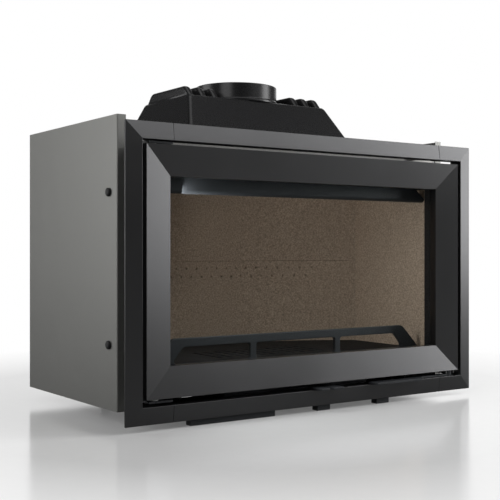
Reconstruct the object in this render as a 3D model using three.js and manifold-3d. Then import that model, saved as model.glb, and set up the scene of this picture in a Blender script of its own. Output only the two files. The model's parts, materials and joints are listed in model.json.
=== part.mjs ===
// Wood-burning fireplace insert: a cast trim surround, a glazed door hinged on the left, a lined
// firebox with a smoke dome and flue collar, its air valves, and a sheet-metal convection casing.
// Millimetres. X runs right along the front, Y runs back, Z runs up from the floor.
import * as THREE from "three";
import { mergeVertices } from "three/addons/utils/BufferGeometryUtils.js";
import Module from "manifold-3d";

const wasm = await Module();
wasm.setup();

// ---------------------------------------------------------------- driving dimensions
// While the pieces are shaped, Y = 0 is the front outer edge of the surround.
const fitGap = 0.3; // left between two pieces that touch
const past = 1; // how far a cutting shape runs past what it cuts
const weldDistance = 1e-4; // corners nearer than this are one corner
const circleSides = 24;
const largeSides = 36; // for the flue collar
const smallSides = 16; // for feet and bolts
const holeSides = 6;

const surroundWidth = 800;
const surroundHeight = 499;
const surroundBottom = 11.3; // clear of the floor
const surroundFace = 29.6; // width of the visible bevelled face
const surroundBevel = 4.1; // how far the face's inner edge stands forward
const surroundReturn = 25; // depth of the wall behind the inner edge
const surroundWall = 4;
const surroundSeam = 89.2; // from each end to the joint in the top and bottom rails
const padFront = 8;
const padDepth = 16; // the floor pads under the surround
const surroundPads = {
  surround_pad_left: [-272, -94],
  surround_pad_centre: [3, 34],
  surround_pad_right: [150, 182],
};
const tieWidth = 22;
const tieInset = 87.7; // tie centre, in from the casing's side
const tieThickness = 2;

const doorSideGap = 7.6; // between door and surround, each side
const doorTopGap = 6.9;
const doorBottomGap = 11.8;
const doorProud = 3.7; // door's outer edge forward of the surround's outer edge
const doorRail = 51.7; // width of the door frame's face
const doorSlope = 12.2; // how far the face falls back towards the glass
const doorSkin = 4.8;
const doorEdgeDepth = 18; // back of the outer wall
const glassLand = 24; // where the glass tape lies on the frame
const glassTape = 1.5;
const tapeInset = 3; // tape, outwards from the clear opening
const glassThickness = 4;
const glassOverlap = 16; // glass behind the frame, each side
const glassEdgeGap = 1; // from the glass to the frame's wall, and from its edge to the tape
const retainerLength = 240;
const retainerLap = 7; // how far it reaches over the glass
const retainerThickness = 1.8;
const ropeWidth = 11.4;
const ropeFromGlassEdge = 35; // rope centre, outwards from the clear opening
const ropeFloor = 20; // bottom of the rope's groove
const ropeRear = 33.3;
const ropeSides = 12;
const ropeGrooveWall = 3;
const ropeGrooveRim = 28; // back of the groove's outer wall

const pinInset = 19.8; // hinge axis and handle pivot, in from the door's outer edges
const pinDepth = 8.5; // the same two, behind the surround's outer edge
const pinRadius = 4;
const runningGap = 0.08;
const pinLength = 22; // of each pin inside the door
const bracketThickness = 4;
const bracketOver = 1.4; // upper bracket, above the door
const bracketUnder = 7.2; // underside of the lower bracket, below the door
const bracketReach = { outer: 13, inner: 33, front: 7 }; // from the hinge axis
const bracketLeaf = { thickness: 3, height: 12 };

const frameFront = 38; // front face of the firebox front frame
const frameDepth = 15.7;
const frameEdge = { side: -0.8, bottom: 4.7, top: 4.2 }; // outwards from the door's edges
const frameLip = { side: 12.9, top: 9.9 }; // fire opening, outwards from the clear glass
const ropeRib = 16; // width of the raised rib that the rope closes on

const liningThickness = 25;
const backFlatHalf = 55.7; // flat stretch in the middle of the curved back
const backRadius = 428;
const backDepth = 367.5; // deepest point of the lining's face
const backChord = Math.PI / 36;
const lowerBrickHeight = 208.5;
const airHoleRadius = 2.2;
const airHolePitch = 25.4;
const airHoleMargin = 66; // least plain stretch of back at each side
const airHoleDrops = { even: 15.7, odd: 33.5 }; // each row, below the joint between the bricks
const ductDepth = 19;
const ductTopGap = 3; // below the joint between the bricks
const ductEnd = 25.4; // past the last air hole
const ductPort = { half: 45, front: 4, rear: 2 }; // margins inside the duct
const shellWall = 4;
const shellDrop = 4.7; // shell's top, below the front frame's
const topPlate = 4.7;
const basePlateRise = 19.1; // base plate, above the surround's opening
const basePlateThickness = 5.7;
const baffleThickness = 20;
const baffleFront = 112;
const smokeGap = 29.3; // above the baffle

const hearthDrop = 9.4; // hearth, below the clear glass
const hearthThickness = 10;
const hearthSkirt = 12;
const grateHalfWidth = 150;
const grateFront = 120;
const grateDepth = 140;
const grateThickness = 7;
const grateLedge = 6; // that the grate rests on
const grateSlots = 11;
const grateSlotWidth = 9;
const grateRim = { side: 14, end: 16 };
const ashPanHeight = 17;
const ashPanGap = 9; // inside the grate's edge

const guardSetback = 12; // behind the front frame
const guardThickness = 8;
const guardHeight = 48.3;
const guardBar = 15.4;
const guardPost = 12.7;
const guardPostCentre = 100.7;
const guardSill = 9;
const guardToeGap = 6; // from each toe to the side lining
const guardRun = 42; // how far the top's ends stand in from the toes
const guardCorner = { across: 7, down: 5, toe: 2 };
const guardEnd = { top: 24, bottom: 5, corner: 4 }; // end openings, in from the top's ends

const deflectorDrop = 25.3; // lower edge, below the top of the clear glass
const deflectorNose = 7.5; // radius of the rolled lower edge
const noseSteps = 8;
const deflectorPlate = 4;
const deflectorTaper = 25.5; // height at which the nose has thinned to the plate
const deflectorTopGap = 5.3;
const deflectorCorner = { width: 26, low: 7, high: 28 };

const collarSetback = 93.5; // flue centre, in front of the lining's deepest point
const domeAhead = 1.1; // front edge of the dome's top, forward of the collar
const domeBehind = -3; // rear edge, behind the collar
const domeHeight = 118.2;
const domeSkirt = 41.4; // upright lower part
const domeSideLean = 0.43; // widening for each millimetre down
const domeFrontLean = 0.665;
const domeBackLean = 0.6;
const domeWall = 5;
const domeCorner = 9;
const domeCornerSteps = 3;
const domeEdge = { down: 2, in: 1.5 };
const domeFlange = 10;
const ribsAside = 3;
const ribPitch = 28;
const ribGap = 1.3; // from the collar's foot to the nearest rib
const ribMargin = 2.9; // from the last rib to the top's edge
const ribWidth = 15;
const ribHeight = 19.5;
const ribInset = { front: 4, back: 2 };
const ribChamfer = 3;
const ribEnd = { run: 12, nearRun: 3.6, low: 5.85, high: 13.65 }; // each rounded end

const flueRadius = 75; // inside, for a 150 mm pipe
const collarWall = 9;
const collarHeight = 36.2;
const collarFoot = { out: 2.2, height: 5, run: 5 };
const collarLip = { outer: 2, inner: 1 };
const collarSpigot = 10; // how far it reaches down into the dome

const casingInset = 17.3; // casing side, in from the surround's edge
const casingFront = 63.1;
const casingRearSpace = 26.8; // behind the firebox shell
const casingBottom = 26;
const casingRise = 17.2; // casing's top, above the surround's
const sheet = 1.5;
const casingFlange = 16.9;
const casingRearFlange = 18;
const railHeight = 36;
const railDrop = 9.5; // below the casing's top
const boltDepth = 92.2;
const boltLift = 111.1; // lower bolts, above the casing's base
const boltDrop = 130.4; // upper bolts, below the casing's top
const boltHead = { radius: 7.3, height: 5, rim: 3.5, crown: 5.1 };
const boltRadius = 5;
const footRadius = 16;
const footPad = 6;
const footStem = 7;
const footEdge = { height: 1, bottom: 1, top: 2 }; // its chamfers, and their widths
const footInset = { side: 147.7, front: 26.9, rear: 42.9 }; // from the casing's faces
const roomAirSlot = { gap: 16, width: 56, front: 47, rear: 42 };

const leverClearance = 0.5; // over the surround's lower edge
const leverTravel = 25;
const leverThickness = 3.6;
const leverProud = 20; // grip, forward of the surround's outer edge
const leverGrip = 22;
const leverRod = 14;
const leverChamfer = 3;
const ignitionTab = [-12.5, 12.5];
const combustionTab = [17.5, 45.5];
const valveOuter = { left: -82, right: 115 };
const valveMiddle = 15; // between the two valves
const valveSplit = 1; // from there to each valve
const portFront = 100;
const portLength = 22;
const portPitch = 55;
const portMargin = 8;
const ignitionPort = [-60, 8];
const combustionPort = [22, 90];
const plenumPort = { front: 88, back: 106 };
const seatThickness = 2;
const seatRail = 3;
const seatLip = { thickness: 1.6, reach: 2.5 };
const seatWeb = 1.4;
const seatEnd = 6; // behind the valves
const railSetback = 12; // rails, behind the seat's front
const airBoxHalf = 170;
const airBoxFront = 60;
const airBoxRear = 52.5; // behind the lining's deepest point
const airBoxWall = 2;
const rodSlot = { side: 2, over: 1 }; // clearance round the lever rods
const channel = { gap: 8, width: 40, wall: 3, front: 75, rear: 67.5 };
const inletRadius = 50;
const inletWall = 2;
const inletFlange = 9;
const inletBottom = 3;
const inletSetback = 120; // in front of the air box's rear

const handleThickness = 3.6;
const handleGrip = { inner: 219, outer: 94, front: -21, back: 6 }; // X from the pivot
const handleCorner = { small: 4, large: 6, front: 5, neck: 16, heel: 12 };
const handleArm = 14;
const hubRadius = 9;
const pivotHead = { radius: 7, height: 1.7, recess: 0.3, gap: 0.5 };
const catchGap = 0.6;
const catchSpring = 1.6;
const catchClear = 0.8; // above the handle's blade and below the door
const catchBridge = 6;
const catchLeaf = { half: 14, height: 11, thickness: 3 };

// ---------------------------------------------------------------- what follows from them
const surroundTop = surroundBottom + surroundHeight;
const halfSurround = surroundWidth / 2;
const openingHalf = halfSurround - surroundFace;
const openingBottom = surroundBottom + surroundFace;
const openingTop = surroundTop - surroundFace;
const doorHalf = openingHalf - doorSideGap;
const doorBottom = openingBottom + doorBottomGap;
const doorTop = openingTop - doorTopGap;
const paneHalf = doorHalf - doorRail; // the clear opening of the door
const paneBottom = doorBottom + doorRail;
const paneTop = doorTop - doorRail;
const hinge = { x: -doorHalf + pinInset, y: pinDepth };
const pivot = { x: doorHalf - pinInset, y: pinDepth };
const upperBracketBottom = doorTop + bracketOver;
const lowerBracketBottom = doorBottom - bracketUnder;
const bladeBottom = openingBottom + leverClearance; // handle and levers
const frameHalfWidth = doorHalf + frameEdge.side;
const frameBottom = doorBottom - frameEdge.bottom;
const frameTop = doorTop + frameEdge.top;
const fireHalf = paneHalf + frameLip.side;
const fireTop = paneTop + frameLip.top;
const hearthTop = paneBottom - hearthDrop;
const shellFront = frameFront + frameDepth + fitGap;
const shellInside = fireHalf + liningThickness + fitGap;
const shellOffset = liningThickness + fitGap + ductDepth + fitGap;
const shellTop = frameTop - shellDrop;
const basePlateBottom = openingBottom + basePlateRise;
const basePlateTop = basePlateBottom + basePlateThickness;
const liningBottom = basePlateTop + fitGap;
const backJoint = liningBottom + lowerBrickHeight;
const baffleBottom = shellTop - smokeGap - baffleThickness;
const liningTop = baffleBottom - fitGap;
const airHolesAside = Math.floor((fireHalf - airHoleMargin) / airHolePitch);
const flueCentre = backDepth - collarSetback;
const collarRadius = flueRadius + collarWall;
const firstRib = collarRadius + collarFoot.out + ribGap + ribWidth / 2;
const ribCentres = Array.from({ length: ribsAside }, (_, k) => firstRib + k * ribPitch);
const domeTopHalfWidth = ribCentres[ribsAside - 1] + ribWidth / 2 + ribMargin;
const domeTopFront = flueCentre - collarRadius - domeAhead;
const domeTopBack = flueCentre + collarRadius + domeBehind;
const domeBottom = shellTop + fitGap + topPlate + fitGap;
const domeTop = domeBottom + domeHeight;
const domeSkirtTop = domeBottom + domeSkirt;
const casingHalf = halfSurround - casingInset;
const casingBack = backDepth + shellOffset + shellWall + casingRearSpace;
const casingTop = surroundTop + casingRise;
const railTop = casingTop - railDrop;
const backPanelRear = casingBack - sheet - fitGap;
const footSide = casingHalf - footInset.side;
const footFront = casingFront + footInset.front;
const footRear = casingBack - footInset.rear;
const airBoxBottom = casingBottom + sheet + fitGap;
const airBoxTop = basePlateBottom - fitGap;
const airBoxBack = backDepth + airBoxRear;
const inletY = airBoxBack - inletSetback;
const valveRear = portFront + portPitch + portLength + leverTravel + portMargin;
const slotInner = airBoxHalf + roomAirSlot.gap;
const slotOuter = slotInner + roomAirSlot.width;
const originShift = -(handleGrip.front + casingBack) / 2; // puts the origin under the middle

// ---------------------------------------------------------------- shape helpers
function toSolid(geometry) {
  const bare = geometry.clone();
  bare.deleteAttribute("normal");
  bare.deleteAttribute("uv");
  const merged = mergeVertices(bare, weldDistance);
  return new wasm.Manifold(
    new wasm.Mesh({
      numProp: 3,
      vertProperties: merged.attributes.position.array,
      triVerts: new Uint32Array(merged.index.array),
    }),
  );
}

function toGeometry(solid) {
  const mesh = solid.getMesh();
  const geometry = new THREE.BufferGeometry();
  geometry.setAttribute("position", new THREE.BufferAttribute(mesh.vertProperties, 3));
  geometry.setIndex(new THREE.BufferAttribute(mesh.triVerts, 1));
  const flat = geometry.toNonIndexed();
  flat.computeVertexNormals();
  return flat;
}

function block(x0, x1, y0, y1, z0, z1) {
  const geometry = new THREE.BoxGeometry(x1 - x0, y1 - y0, z1 - z0);
  return geometry.translate((x0 + x1) / 2, (y0 + y1) / 2, (z0 + z1) / 2);
}

function cylinder(x, y, z0, z1, radius, sides = circleSides) {
  const geometry = new THREE.CylinderGeometry(radius, radius, z1 - z0, sides);
  return geometry.rotateX(Math.PI / 2).translate(x, y, (z0 + z1) / 2);
}

function crossCylinder(x0, x1, y, z, radius) {
  const geometry = new THREE.CylinderGeometry(radius, radius, x1 - x0, smallSides);
  return geometry.rotateZ(Math.PI / 2).translate((x0 + x1) / 2, y, z);
}

function outline(points) {
  return new THREE.Shape(points.map(([x, y]) => new THREE.Vector2(x, y)));
}

// An outline drawn in plan (X, Y), raised from z0 to z1, with openings cut through it.
function raise(points, z0, z1, holes = []) {
  const settings = { depth: z1 - z0, bevelEnabled: false };
  const solid = new THREE.ExtrudeGeometry(outline(points), settings).translate(0, 0, z0);
  if (holes.length === 0) return solid;
  return cut(solid, ...holes.map((hole) => raise(hole, z0 - past, z1 + past)));
}

// An outline seen from the front (X, Z), given a depth from y0 to y1, with openings cut through.
function frontPlate(points, y0, y1, holes = []) {
  const settings = { depth: y1 - y0, bevelEnabled: false };
  const plate = new THREE.ExtrudeGeometry(outline(points), settings);
  plate.rotateX(Math.PI / 2).translate(0, y1, 0);
  if (holes.length === 0) return plate;
  return cut(plate, ...holes.map((hole) => frontPlate(hole, y0 - past, y1 + past)));
}

// An outline seen from the side (Y, Z), run along X from x0 to x1.
function sideProfile(points, x0, x1) {
  const settings = { depth: x1 - x0, bevelEnabled: false };
  const geometry = new THREE.ExtrudeGeometry(outline(points), settings);
  return geometry.rotateX(Math.PI / 2).rotateZ(Math.PI / 2).translate(x0, 0, 0);
}

// The X range from near to far on one side of the middle, lower end first.
function sideSpan(side, near, far) {
  return side < 0 ? [-far, -near] : [near, far];
}

function rectangle(x0, x1, y0, y1) {
  return [
    [x0, y0],
    [x1, y0],
    [x1, y1],
    [x0, y1],
  ];
}

// The same closed outline, always listed counterclockwise.
function counterclockwise(points) {
  const turned = points.map(([x, y]) => new THREE.Vector2(x, y));
  return THREE.ShapeUtils.isClockWise(turned) ? [...points].reverse() : points;
}

// A closed profile [radius, height] turned round the Z axis.
function turn(profile, sides = circleSides) {
  const points = counterclockwise(profile).map(([r, z]) => new THREE.Vector2(r, z));
  if (points[0].x > 0) points.push(points[0].clone());
  return new THREE.LatheGeometry(points, sides).rotateX(Math.PI / 2);
}

// A closed section carried round a rectangle with mitred corners. Each section point is
// [outwards from the rectangle's edge, depth].
function mitredRing(half, bottom, top, outlinePoints) {
  const section = counterclockwise(outlinePoints);
  const corners = [
    [-1, -1],
    [1, -1],
    [1, 1],
    [-1, 1],
  ];
  const vertices = [];
  for (const [sideX, sideZ] of corners) {
    for (const [out, depth] of section) {
      const edge = sideZ < 0 ? bottom - out : top + out;
      vertices.push(sideX * (half + out), depth, edge);
    }
  }
  const count = section.length;
  const index = [];
  for (let corner = 0; corner < corners.length; corner += 1) {
    const here = corner * count;
    const next = ((corner + 1) % corners.length) * count;
    for (let k = 0; k < count; k += 1) {
      const m = (k + 1) % count;
      index.push(here + k, next + m, next + k, here + k, here + m, next + m);
    }
  }
  const geometry = new THREE.BufferGeometry();
  geometry.setAttribute("position", new THREE.Float32BufferAttribute(vertices, 3));
  geometry.setIndex(index);
  return geometry;
}

// Rings with the same number of points, joined one above another and closed at both ends.
function loft(rings) {
  const count = rings[0].length;
  const vertices = rings.flat(2);
  const index = [];
  for (let ring = 0; ring + 1 < rings.length; ring += 1) {
    for (let k = 0; k < count; k += 1) {
      const a = ring * count + k;
      const b = ring * count + ((k + 1) % count);
      index.push(a, b, b + count, a, b + count, a + count);
    }
  }
  const last = (rings.length - 1) * count;
  for (let k = 1; k + 1 < count; k += 1) {
    index.push(0, k + 1, k);
    index.push(last, last + k, last + k + 1);
  }
  const geometry = new THREE.BufferGeometry();
  geometry.setAttribute("position", new THREE.Float32BufferAttribute(vertices, 3));
  geometry.setIndex(index);
  return geometry;
}

function roundedRing(x0, x1, y0, y1, z, radius) {
  const centres = [
    [x1 - radius, y0 + radius, -Math.PI / 2],
    [x1 - radius, y1 - radius, 0],
    [x0 + radius, y1 - radius, Math.PI / 2],
    [x0 + radius, y0 + radius, Math.PI],
  ];
  const ring = [];
  for (const [cx, cy, start] of centres) {
    for (let k = 0; k <= domeCornerSteps; k += 1) {
      const angle = start + (k / domeCornerSteps) * (Math.PI / 2);
      ring.push([cx + radius * Math.cos(angle), cy + radius * Math.sin(angle), z]);
    }
  }
  return ring;
}

// The firebox back in plan: flat in the middle, then chords of an arc to each side. The offset
// moves it outwards from the lining's face. Every line has its corners at the same angles, so
// that neighbours stay parallel, and it ends where it meets X = -half and X = half.
function backLine(offset, half) {
  const radius = backRadius + offset;
  const corner = (k) => {
    const angle = k * backChord;
    const across = backFlatHalf + radius * Math.sin(angle);
    return [across, backDepth - backRadius + radius * Math.cos(angle)];
  };
  const right = [corner(0)];
  for (let k = 1; right[k - 1][0] < half; k += 1) right.push(corner(k));
  const [x0, y0] = right[right.length - 2];
  const [x1, y1] = right[right.length - 1];
  right[right.length - 1] = [half, y0 + ((y1 - y0) * (half - x0)) / (x1 - x0)];
  const left = right.map(([x, y]) => [-x, y]).reverse();
  return [...left, ...right];
}

// The firebox in plan: straight sides at X = -half and half from the front to the curved back.
function chamberPlan(half, front, offset) {
  return [[half, front], ...backLine(offset, half).reverse(), [-half, front]];
}

function join(...geometries) {
  const solids = geometries.map(toSolid);
  return toGeometry(solids.reduce((sum, solid) => sum.add(solid)));
}

function cut(geometry, ...tools) {
  const solid = toSolid(geometry);
  return toGeometry(tools.map(toSolid).reduce((rest, tool) => rest.subtract(tool), solid));
}

function keep(geometry, region) {
  return toGeometry(toSolid(geometry).intersect(toSolid(region)));
}

// ---------------------------------------------------------------- finishes
const finishes = {
  trim: { color: 0x55565a, roughness: 0.42, metalness: 0.55 },
  door: { color: 0x4a4b4e, roughness: 0.4, metalness: 0.55 },
  castIron: { color: 0x2a2a2c, roughness: 0.5, metalness: 0.4 },
  darkSteel: { color: 0x232426, roughness: 0.55, metalness: 0.5 },
  galvanised: { color: 0xa9abad, roughness: 0.4, metalness: 0.8 },
  brick: { color: 0x8a7866, roughness: 0.95, metalness: 0 },
  glass: { color: 0xdfe6e4, roughness: 0.05, metalness: 0 },
  rope: { color: 0x6d6a64, roughness: 0.95, metalness: 0 },
  brightSteel: { color: 0xb9babc, roughness: 0.3, metalness: 0.9 },
  blackSteel: { color: 0x111214, roughness: 0.6, metalness: 0.2 },
};

function piece(name, geometry, finish) {
  const mesh = new THREE.Mesh(geometry, new THREE.MeshStandardMaterial(finishes[finish]));
  mesh.name = name;
  return mesh;
}

// ---------------------------------------------------------------- casing and feet
function casingSide(name, side) {
  const outer = side * casingHalf;
  const inner = side * (casingHalf - sheet);
  const plan = [
    [outer, casingFront],
    [outer, casingBack],
    [side * (casingHalf - casingRearFlange), casingBack],
    [side * (casingHalf - casingRearFlange), casingBack - sheet],
    [inner, casingBack - sheet],
    [inner, casingFront + sheet],
    [side * (casingHalf - casingFlange), casingFront + sheet],
    [side * (casingHalf - casingFlange), casingFront],
  ];
  const [x0, x1] = sideSpan(side, casingHalf - sheet - past, casingHalf + past);
  const radius = boltRadius + fitGap;
  const holes = [casingBottom + boltLift, casingTop - boltDrop].map((height) =>
    crossCylinder(x0, x1, boltDepth, height, radius),
  );
  return piece(name, cut(raise(plan, casingBottom, casingTop), ...holes), "galvanised");
}

function casingBackPanel() {
  const half = casingHalf - sheet - fitGap;
  const front = backPanelRear - sheet;
  const panel = block(-half, half, front, backPanelRear, airBoxBottom, casingTop);
  return piece("casing_back_panel", panel, "galvanised");
}

function casingTopRail() {
  const half = casingHalf - sheet - fitGap;
  const front = casingFront + sheet + fitGap;
  const rail = block(-half, half, front, front + sheet, railTop - railHeight, railTop);
  return piece("casing_top_rail", rail, "galvanised");
}

// The base lets room air in through a slot on each side of the air box.
function casingBase() {
  const half = casingHalf - sheet - fitGap;
  const front = casingFront + sheet + fitGap;
  const near = footFront + roomAirSlot.front;
  const far = footRear - roomAirSlot.rear;
  const slots = [
    rectangle(slotInner, slotOuter, near, far),
    rectangle(-slotOuter, -slotInner, near, far),
  ];
  const plan = rectangle(-half, half, front, backPanelRear);
  const plate = raise(plan, casingBottom, casingBottom + sheet, slots);
  const inlet = cylinder(
    0,
    inletY,
    casingBottom - past,
    casingBottom + sheet + past,
    inletRadius + fitGap,
  );
  return piece("casing_base", cut(plate, inlet), "galvanised");
}

function foot(name, x, y) {
  const profile = [
    [0, 0],
    [footRadius - footEdge.bottom, 0],
    [footRadius, footEdge.height],
    [footRadius, footPad - footEdge.height],
    [footRadius - footEdge.top, footPad],
    [footStem, footPad],
    [footStem, casingBottom - fitGap],
    [0, casingBottom - fitGap],
  ];
  const mesh = piece(name, turn(profile, smallSides), "darkSteel");
  mesh.position.set(x, y, 0);
  return mesh;
}

// A shoulder bolt: head outside the casing, shoulder to the firebox wall inside it.
function casingBolt(name, side, height) {
  const outside = casingHalf + fitGap / 2;
  const shoulderEnd = shellInside + shellWall + fitGap;
  const shoulderTop = casingHalf - sheet - fitGap / 2;
  const profile = [
    [0, shoulderEnd],
    [boltHead.radius, shoulderEnd],
    [boltHead.radius, shoulderTop],
    [boltRadius, shoulderTop],
    [boltRadius, outside],
    [boltHead.radius, outside],
    [boltHead.radius, outside + boltHead.rim],
    [boltHead.crown, outside + boltHead.height],
    [0, outside + boltHead.height],
  ];
  const bolt = turn(profile, smallSides).rotateY((side * Math.PI) / 2);
  const mesh = piece(name, bolt, "blackSteel");
  mesh.position.set(0, boltDepth, height);
  return mesh;
}

// ---------------------------------------------------------------- surround
function surroundRing() {
  const skinBack = surroundWall - surroundBevel * (1 - surroundWall / surroundFace);
  const section = [
    [surroundFace, 0],
    [0, -surroundBevel],
    [0, surroundReturn],
    [surroundWall, surroundReturn],
    [surroundWall, skinBack],
    [surroundFace, surroundWall],
  ];
  return mitredRing(openingHalf, openingBottom, openingTop, section);
}

function surroundPiece(name, x0, x1, z0, z1) {
  const region = block(x0, x1, -surroundBevel - past, surroundReturn + past, z0, z1);
  return piece(name, keep(surroundRing(), region), "trim");
}

// Two C-shaped side castings, and a straight rail between them at the top and at the bottom.
function surroundPieces() {
  const seam = halfSurround - surroundSeam;
  const inside = seam - fitGap / 2;
  const outside = seam + fitGap / 2;
  const far = halfSurround + past;
  const top = surroundTop + past;
  const middle = (surroundTop + surroundBottom) / 2;
  return [
    surroundPiece("surround_left", -far, -outside, 0, top),
    surroundPiece("surround_right", outside, far, 0, top),
    surroundPiece("surround_top", -inside, inside, middle, top),
    surroundPiece("surround_bottom", -inside, inside, 0, middle),
  ];
}

function surroundPad(name, [x0, x1]) {
  const top = openingBottom - surroundWall - fitGap;
  return piece(name, block(x0, x1, padFront, padFront + padDepth, 0, top), "darkSteel");
}

// An angle strap that hangs the surround from the casing's rail.
function surroundTie(name, side) {
  const centre = side * (casingHalf - tieInset);
  const x0 = centre - tieWidth / 2;
  const x1 = centre + tieWidth / 2;
  const back = casingFront + sheet;
  const seat = openingTop + surroundWall + fitGap;
  const arm = block(x0, x1, surroundReturn - tieWidth, back, seat, seat + tieThickness);
  const leaf = block(x0, x1, back - tieThickness, back, seat, railTop - tieThickness);
  return piece(name, join(arm, leaf), "darkSteel");
}

// ---------------------------------------------------------------- firebox
function frontFrame() {
  const opening = rectangle(-fireHalf, fireHalf, hearthTop, fireTop);
  const outer = rectangle(-frameHalfWidth, frameHalfWidth, frameBottom, frameTop);
  const plate = frontPlate(outer, frameFront, frameFront + frameDepth, [opening]);
  const near = ropeFromGlassEdge - ropeRib / 2;
  const ribFront = ropeRear + fitGap;
  const section = rectangle(near, near + ropeRib, ribFront, frameFront + past);
  const rib = mitredRing(paneHalf, paneBottom, paneTop, section);
  return piece("firebox_front_frame", join(plate, rib), "castIron");
}

function shellPlan() {
  return chamberPlan(shellInside + shellWall, shellFront, shellOffset + shellWall);
}

function fireboxShell() {
  const wall = raise(shellPlan(), basePlateTop + fitGap, shellTop);
  const inside = chamberPlan(shellInside, shellFront - past, shellOffset);
  return piece("firebox_shell", cut(wall, raise(inside, 0, shellTop + past)), "castIron");
}

// The base plate has a port for each valve and one under the duct behind the back bricks.
function basePlate() {
  const ductFront = backDepth + liningThickness;
  const port = (x0, x1, front, back) => block(x0, x1, front, back, 0, basePlateTop + past);
  const plate = raise(shellPlan(), basePlateBottom, basePlateTop);
  const holes = [
    port(
      -ductPort.half,
      ductPort.half,
      ductFront + ductPort.front,
      ductFront + ductDepth - ductPort.rear,
    ),
    port(...ignitionPort, plenumPort.front, plenumPort.back),
    port(...combustionPort, plenumPort.front, plenumPort.back),
  ];
  return piece("firebox_base_plate", cut(plate, ...holes), "castIron");
}

function topPlatePiece() {
  const half = domeTopHalfWidth - domeWall;
  const opening = rectangle(-half, half, domeTopFront - 2 * domeWall, domeTopBack);
  const bottom = shellTop + fitGap;
  return piece(
    "firebox_top_plate",
    raise(shellPlan(), bottom, bottom + topPlate, [opening]),
    "castIron",
  );
}

// The dome's outline at a height, brought in all round by the inset.
function domeRing(z, inset) {
  const drop = domeTop - Math.max(z, domeSkirtTop);
  const half = domeTopHalfWidth + domeSideLean * drop - inset;
  const front = domeTopFront - domeFrontLean * drop + inset;
  const back = domeTopBack + domeBackLean * drop - inset;
  return roundedRing(-half, half, front, back, z, domeCorner);
}

function domeRib(centre) {
  const top = domeTop + ribHeight;
  const front = domeTopFront + ribInset.front;
  const back = domeTopBack - ribInset.back;
  const profile = [
    [front, domeTop - domeWall / 2],
    [back, domeTop - domeWall / 2],
    [back, domeTop + ribEnd.low],
    [back - ribEnd.nearRun, domeTop + ribEnd.high],
    [back - ribEnd.run, top],
    [front + ribEnd.run, top],
    [front + ribEnd.nearRun, domeTop + ribEnd.high],
    [front, domeTop + ribEnd.low],
  ];
  const settings = {
    depth: ribWidth - 2 * ribChamfer,
    bevelEnabled: true,
    bevelSize: ribChamfer,
    bevelThickness: ribChamfer,
    bevelOffset: -ribChamfer,
    bevelSegments: 1,
  };
  const rib = new THREE.ExtrudeGeometry(outline(profile), settings);
  rib.rotateX(Math.PI / 2).rotateZ(Math.PI / 2);
  return rib.translate(centre - ribWidth / 2 + ribChamfer, 0, 0);
}

function smokeDome() {
  const body = loft([
    domeRing(domeBottom, 0),
    domeRing(domeSkirtTop, 0),
    domeRing(domeTop - domeEdge.down, 0),
    domeRing(domeTop, domeEdge.in),
  ]);
  const flangeFoot = domeRing(domeBottom, -domeFlange);
  const flangeTop = flangeFoot.map(([x, y, z]) => [x, y, z + domeWall]);
  const ribs = ribCentres.flatMap((centre) => [domeRib(centre), domeRib(-centre)]);
  const hollow = loft(
    [domeBottom - past, domeSkirtTop, domeTop - domeWall].map((z) => domeRing(z, domeWall)),
  );
  const neck = flueRadius + domeWall;
  const low = domeTop - 2 * domeWall;
  const hole = cylinder(0, flueCentre, low, domeTop + past, neck, largeSides);
  const whole = join(body, loft([flangeFoot, flangeTop]), ...ribs);
  return piece("smoke_dome", cut(whole, hollow, hole), "castIron");
}

function flueCollar() {
  const seat = domeTop + fitGap;
  const top = domeTop + collarHeight;
  const spigot = flueRadius + domeWall - fitGap;
  const profile = [
    [flueRadius, domeTop - collarSpigot],
    [spigot, domeTop - collarSpigot],
    [spigot, seat],
    [collarRadius + collarFoot.out, seat],
    [collarRadius + collarFoot.out, seat + collarFoot.height],
    [collarRadius, seat + collarFoot.height + collarFoot.run],
    [collarRadius, top - collarLip.outer],
    [collarRadius - collarLip.outer, top],
    [flueRadius + collarLip.inner, top],
    [flueRadius, top - collarLip.inner],
  ];
  const mesh = piece("flue_collar", turn(profile, largeSides), "castIron");
  mesh.position.set(0, flueCentre, 0);
  return mesh;
}

// ---------------------------------------------------------------- lining and fire parts
function liningSide(name, side) {
  const [x0, x1] = sideSpan(side, fireHalf, fireHalf + liningThickness);
  const slab = block(x0, x1, shellFront, backDepth, liningBottom, liningTop);
  const behind = chamberPlan(shellInside + past, backDepth + liningThickness, -fitGap);
  return piece(name, cut(slab, raise(behind, 0, shellTop)), "brick");
}

// The air holes of a back brick: two staggered rows, each symmetrical about the middle.
function airHoles() {
  const rows = [
    { height: backJoint - airHoleDrops.even, count: 2 * airHolesAside },
    { height: backJoint - airHoleDrops.odd, count: 2 * airHolesAside - 1 },
  ];
  const length = 6 * liningThickness; // long enough for the holes where the back curves forward
  return rows.flatMap(({ height, count }) =>
    Array.from({ length: count }, (_, k) => {
      const x = (k - (count - 1) / 2) * airHolePitch;
      const drill = new THREE.CylinderGeometry(airHoleRadius, airHoleRadius, length, holeSides);
      return drill.translate(x, backDepth, height);
    }),
  );
}

function liningBack(name, bottom, top, holes) {
  const half = fireHalf + liningThickness;
  const plan = [...backLine(liningThickness, half), ...backLine(0, half).reverse()];
  const slab = raise(plan, bottom, top);
  return piece(name, holes.length ? cut(slab, ...holes) : slab, "brick");
}

// A sheet channel behind the lower brick that brings air up to its holes.
function rearDuct() {
  const half = (airHolesAside - 0.5) * airHolePitch + ductEnd;
  const near = liningThickness + fitGap;
  const top = backJoint - ductTopGap;
  const band = (inner, outer, width) => [
    ...backLine(outer, width),
    ...backLine(inner, width).reverse(),
  ];
  const box = raise(band(near, near + ductDepth, half), liningBottom, top);
  const hollow = band(near - liningThickness, near + ductDepth - sheet, half - sheet);
  return piece("rear_air_duct", cut(box, raise(hollow, 0, top - sheet)), "darkSteel");
}

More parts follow.
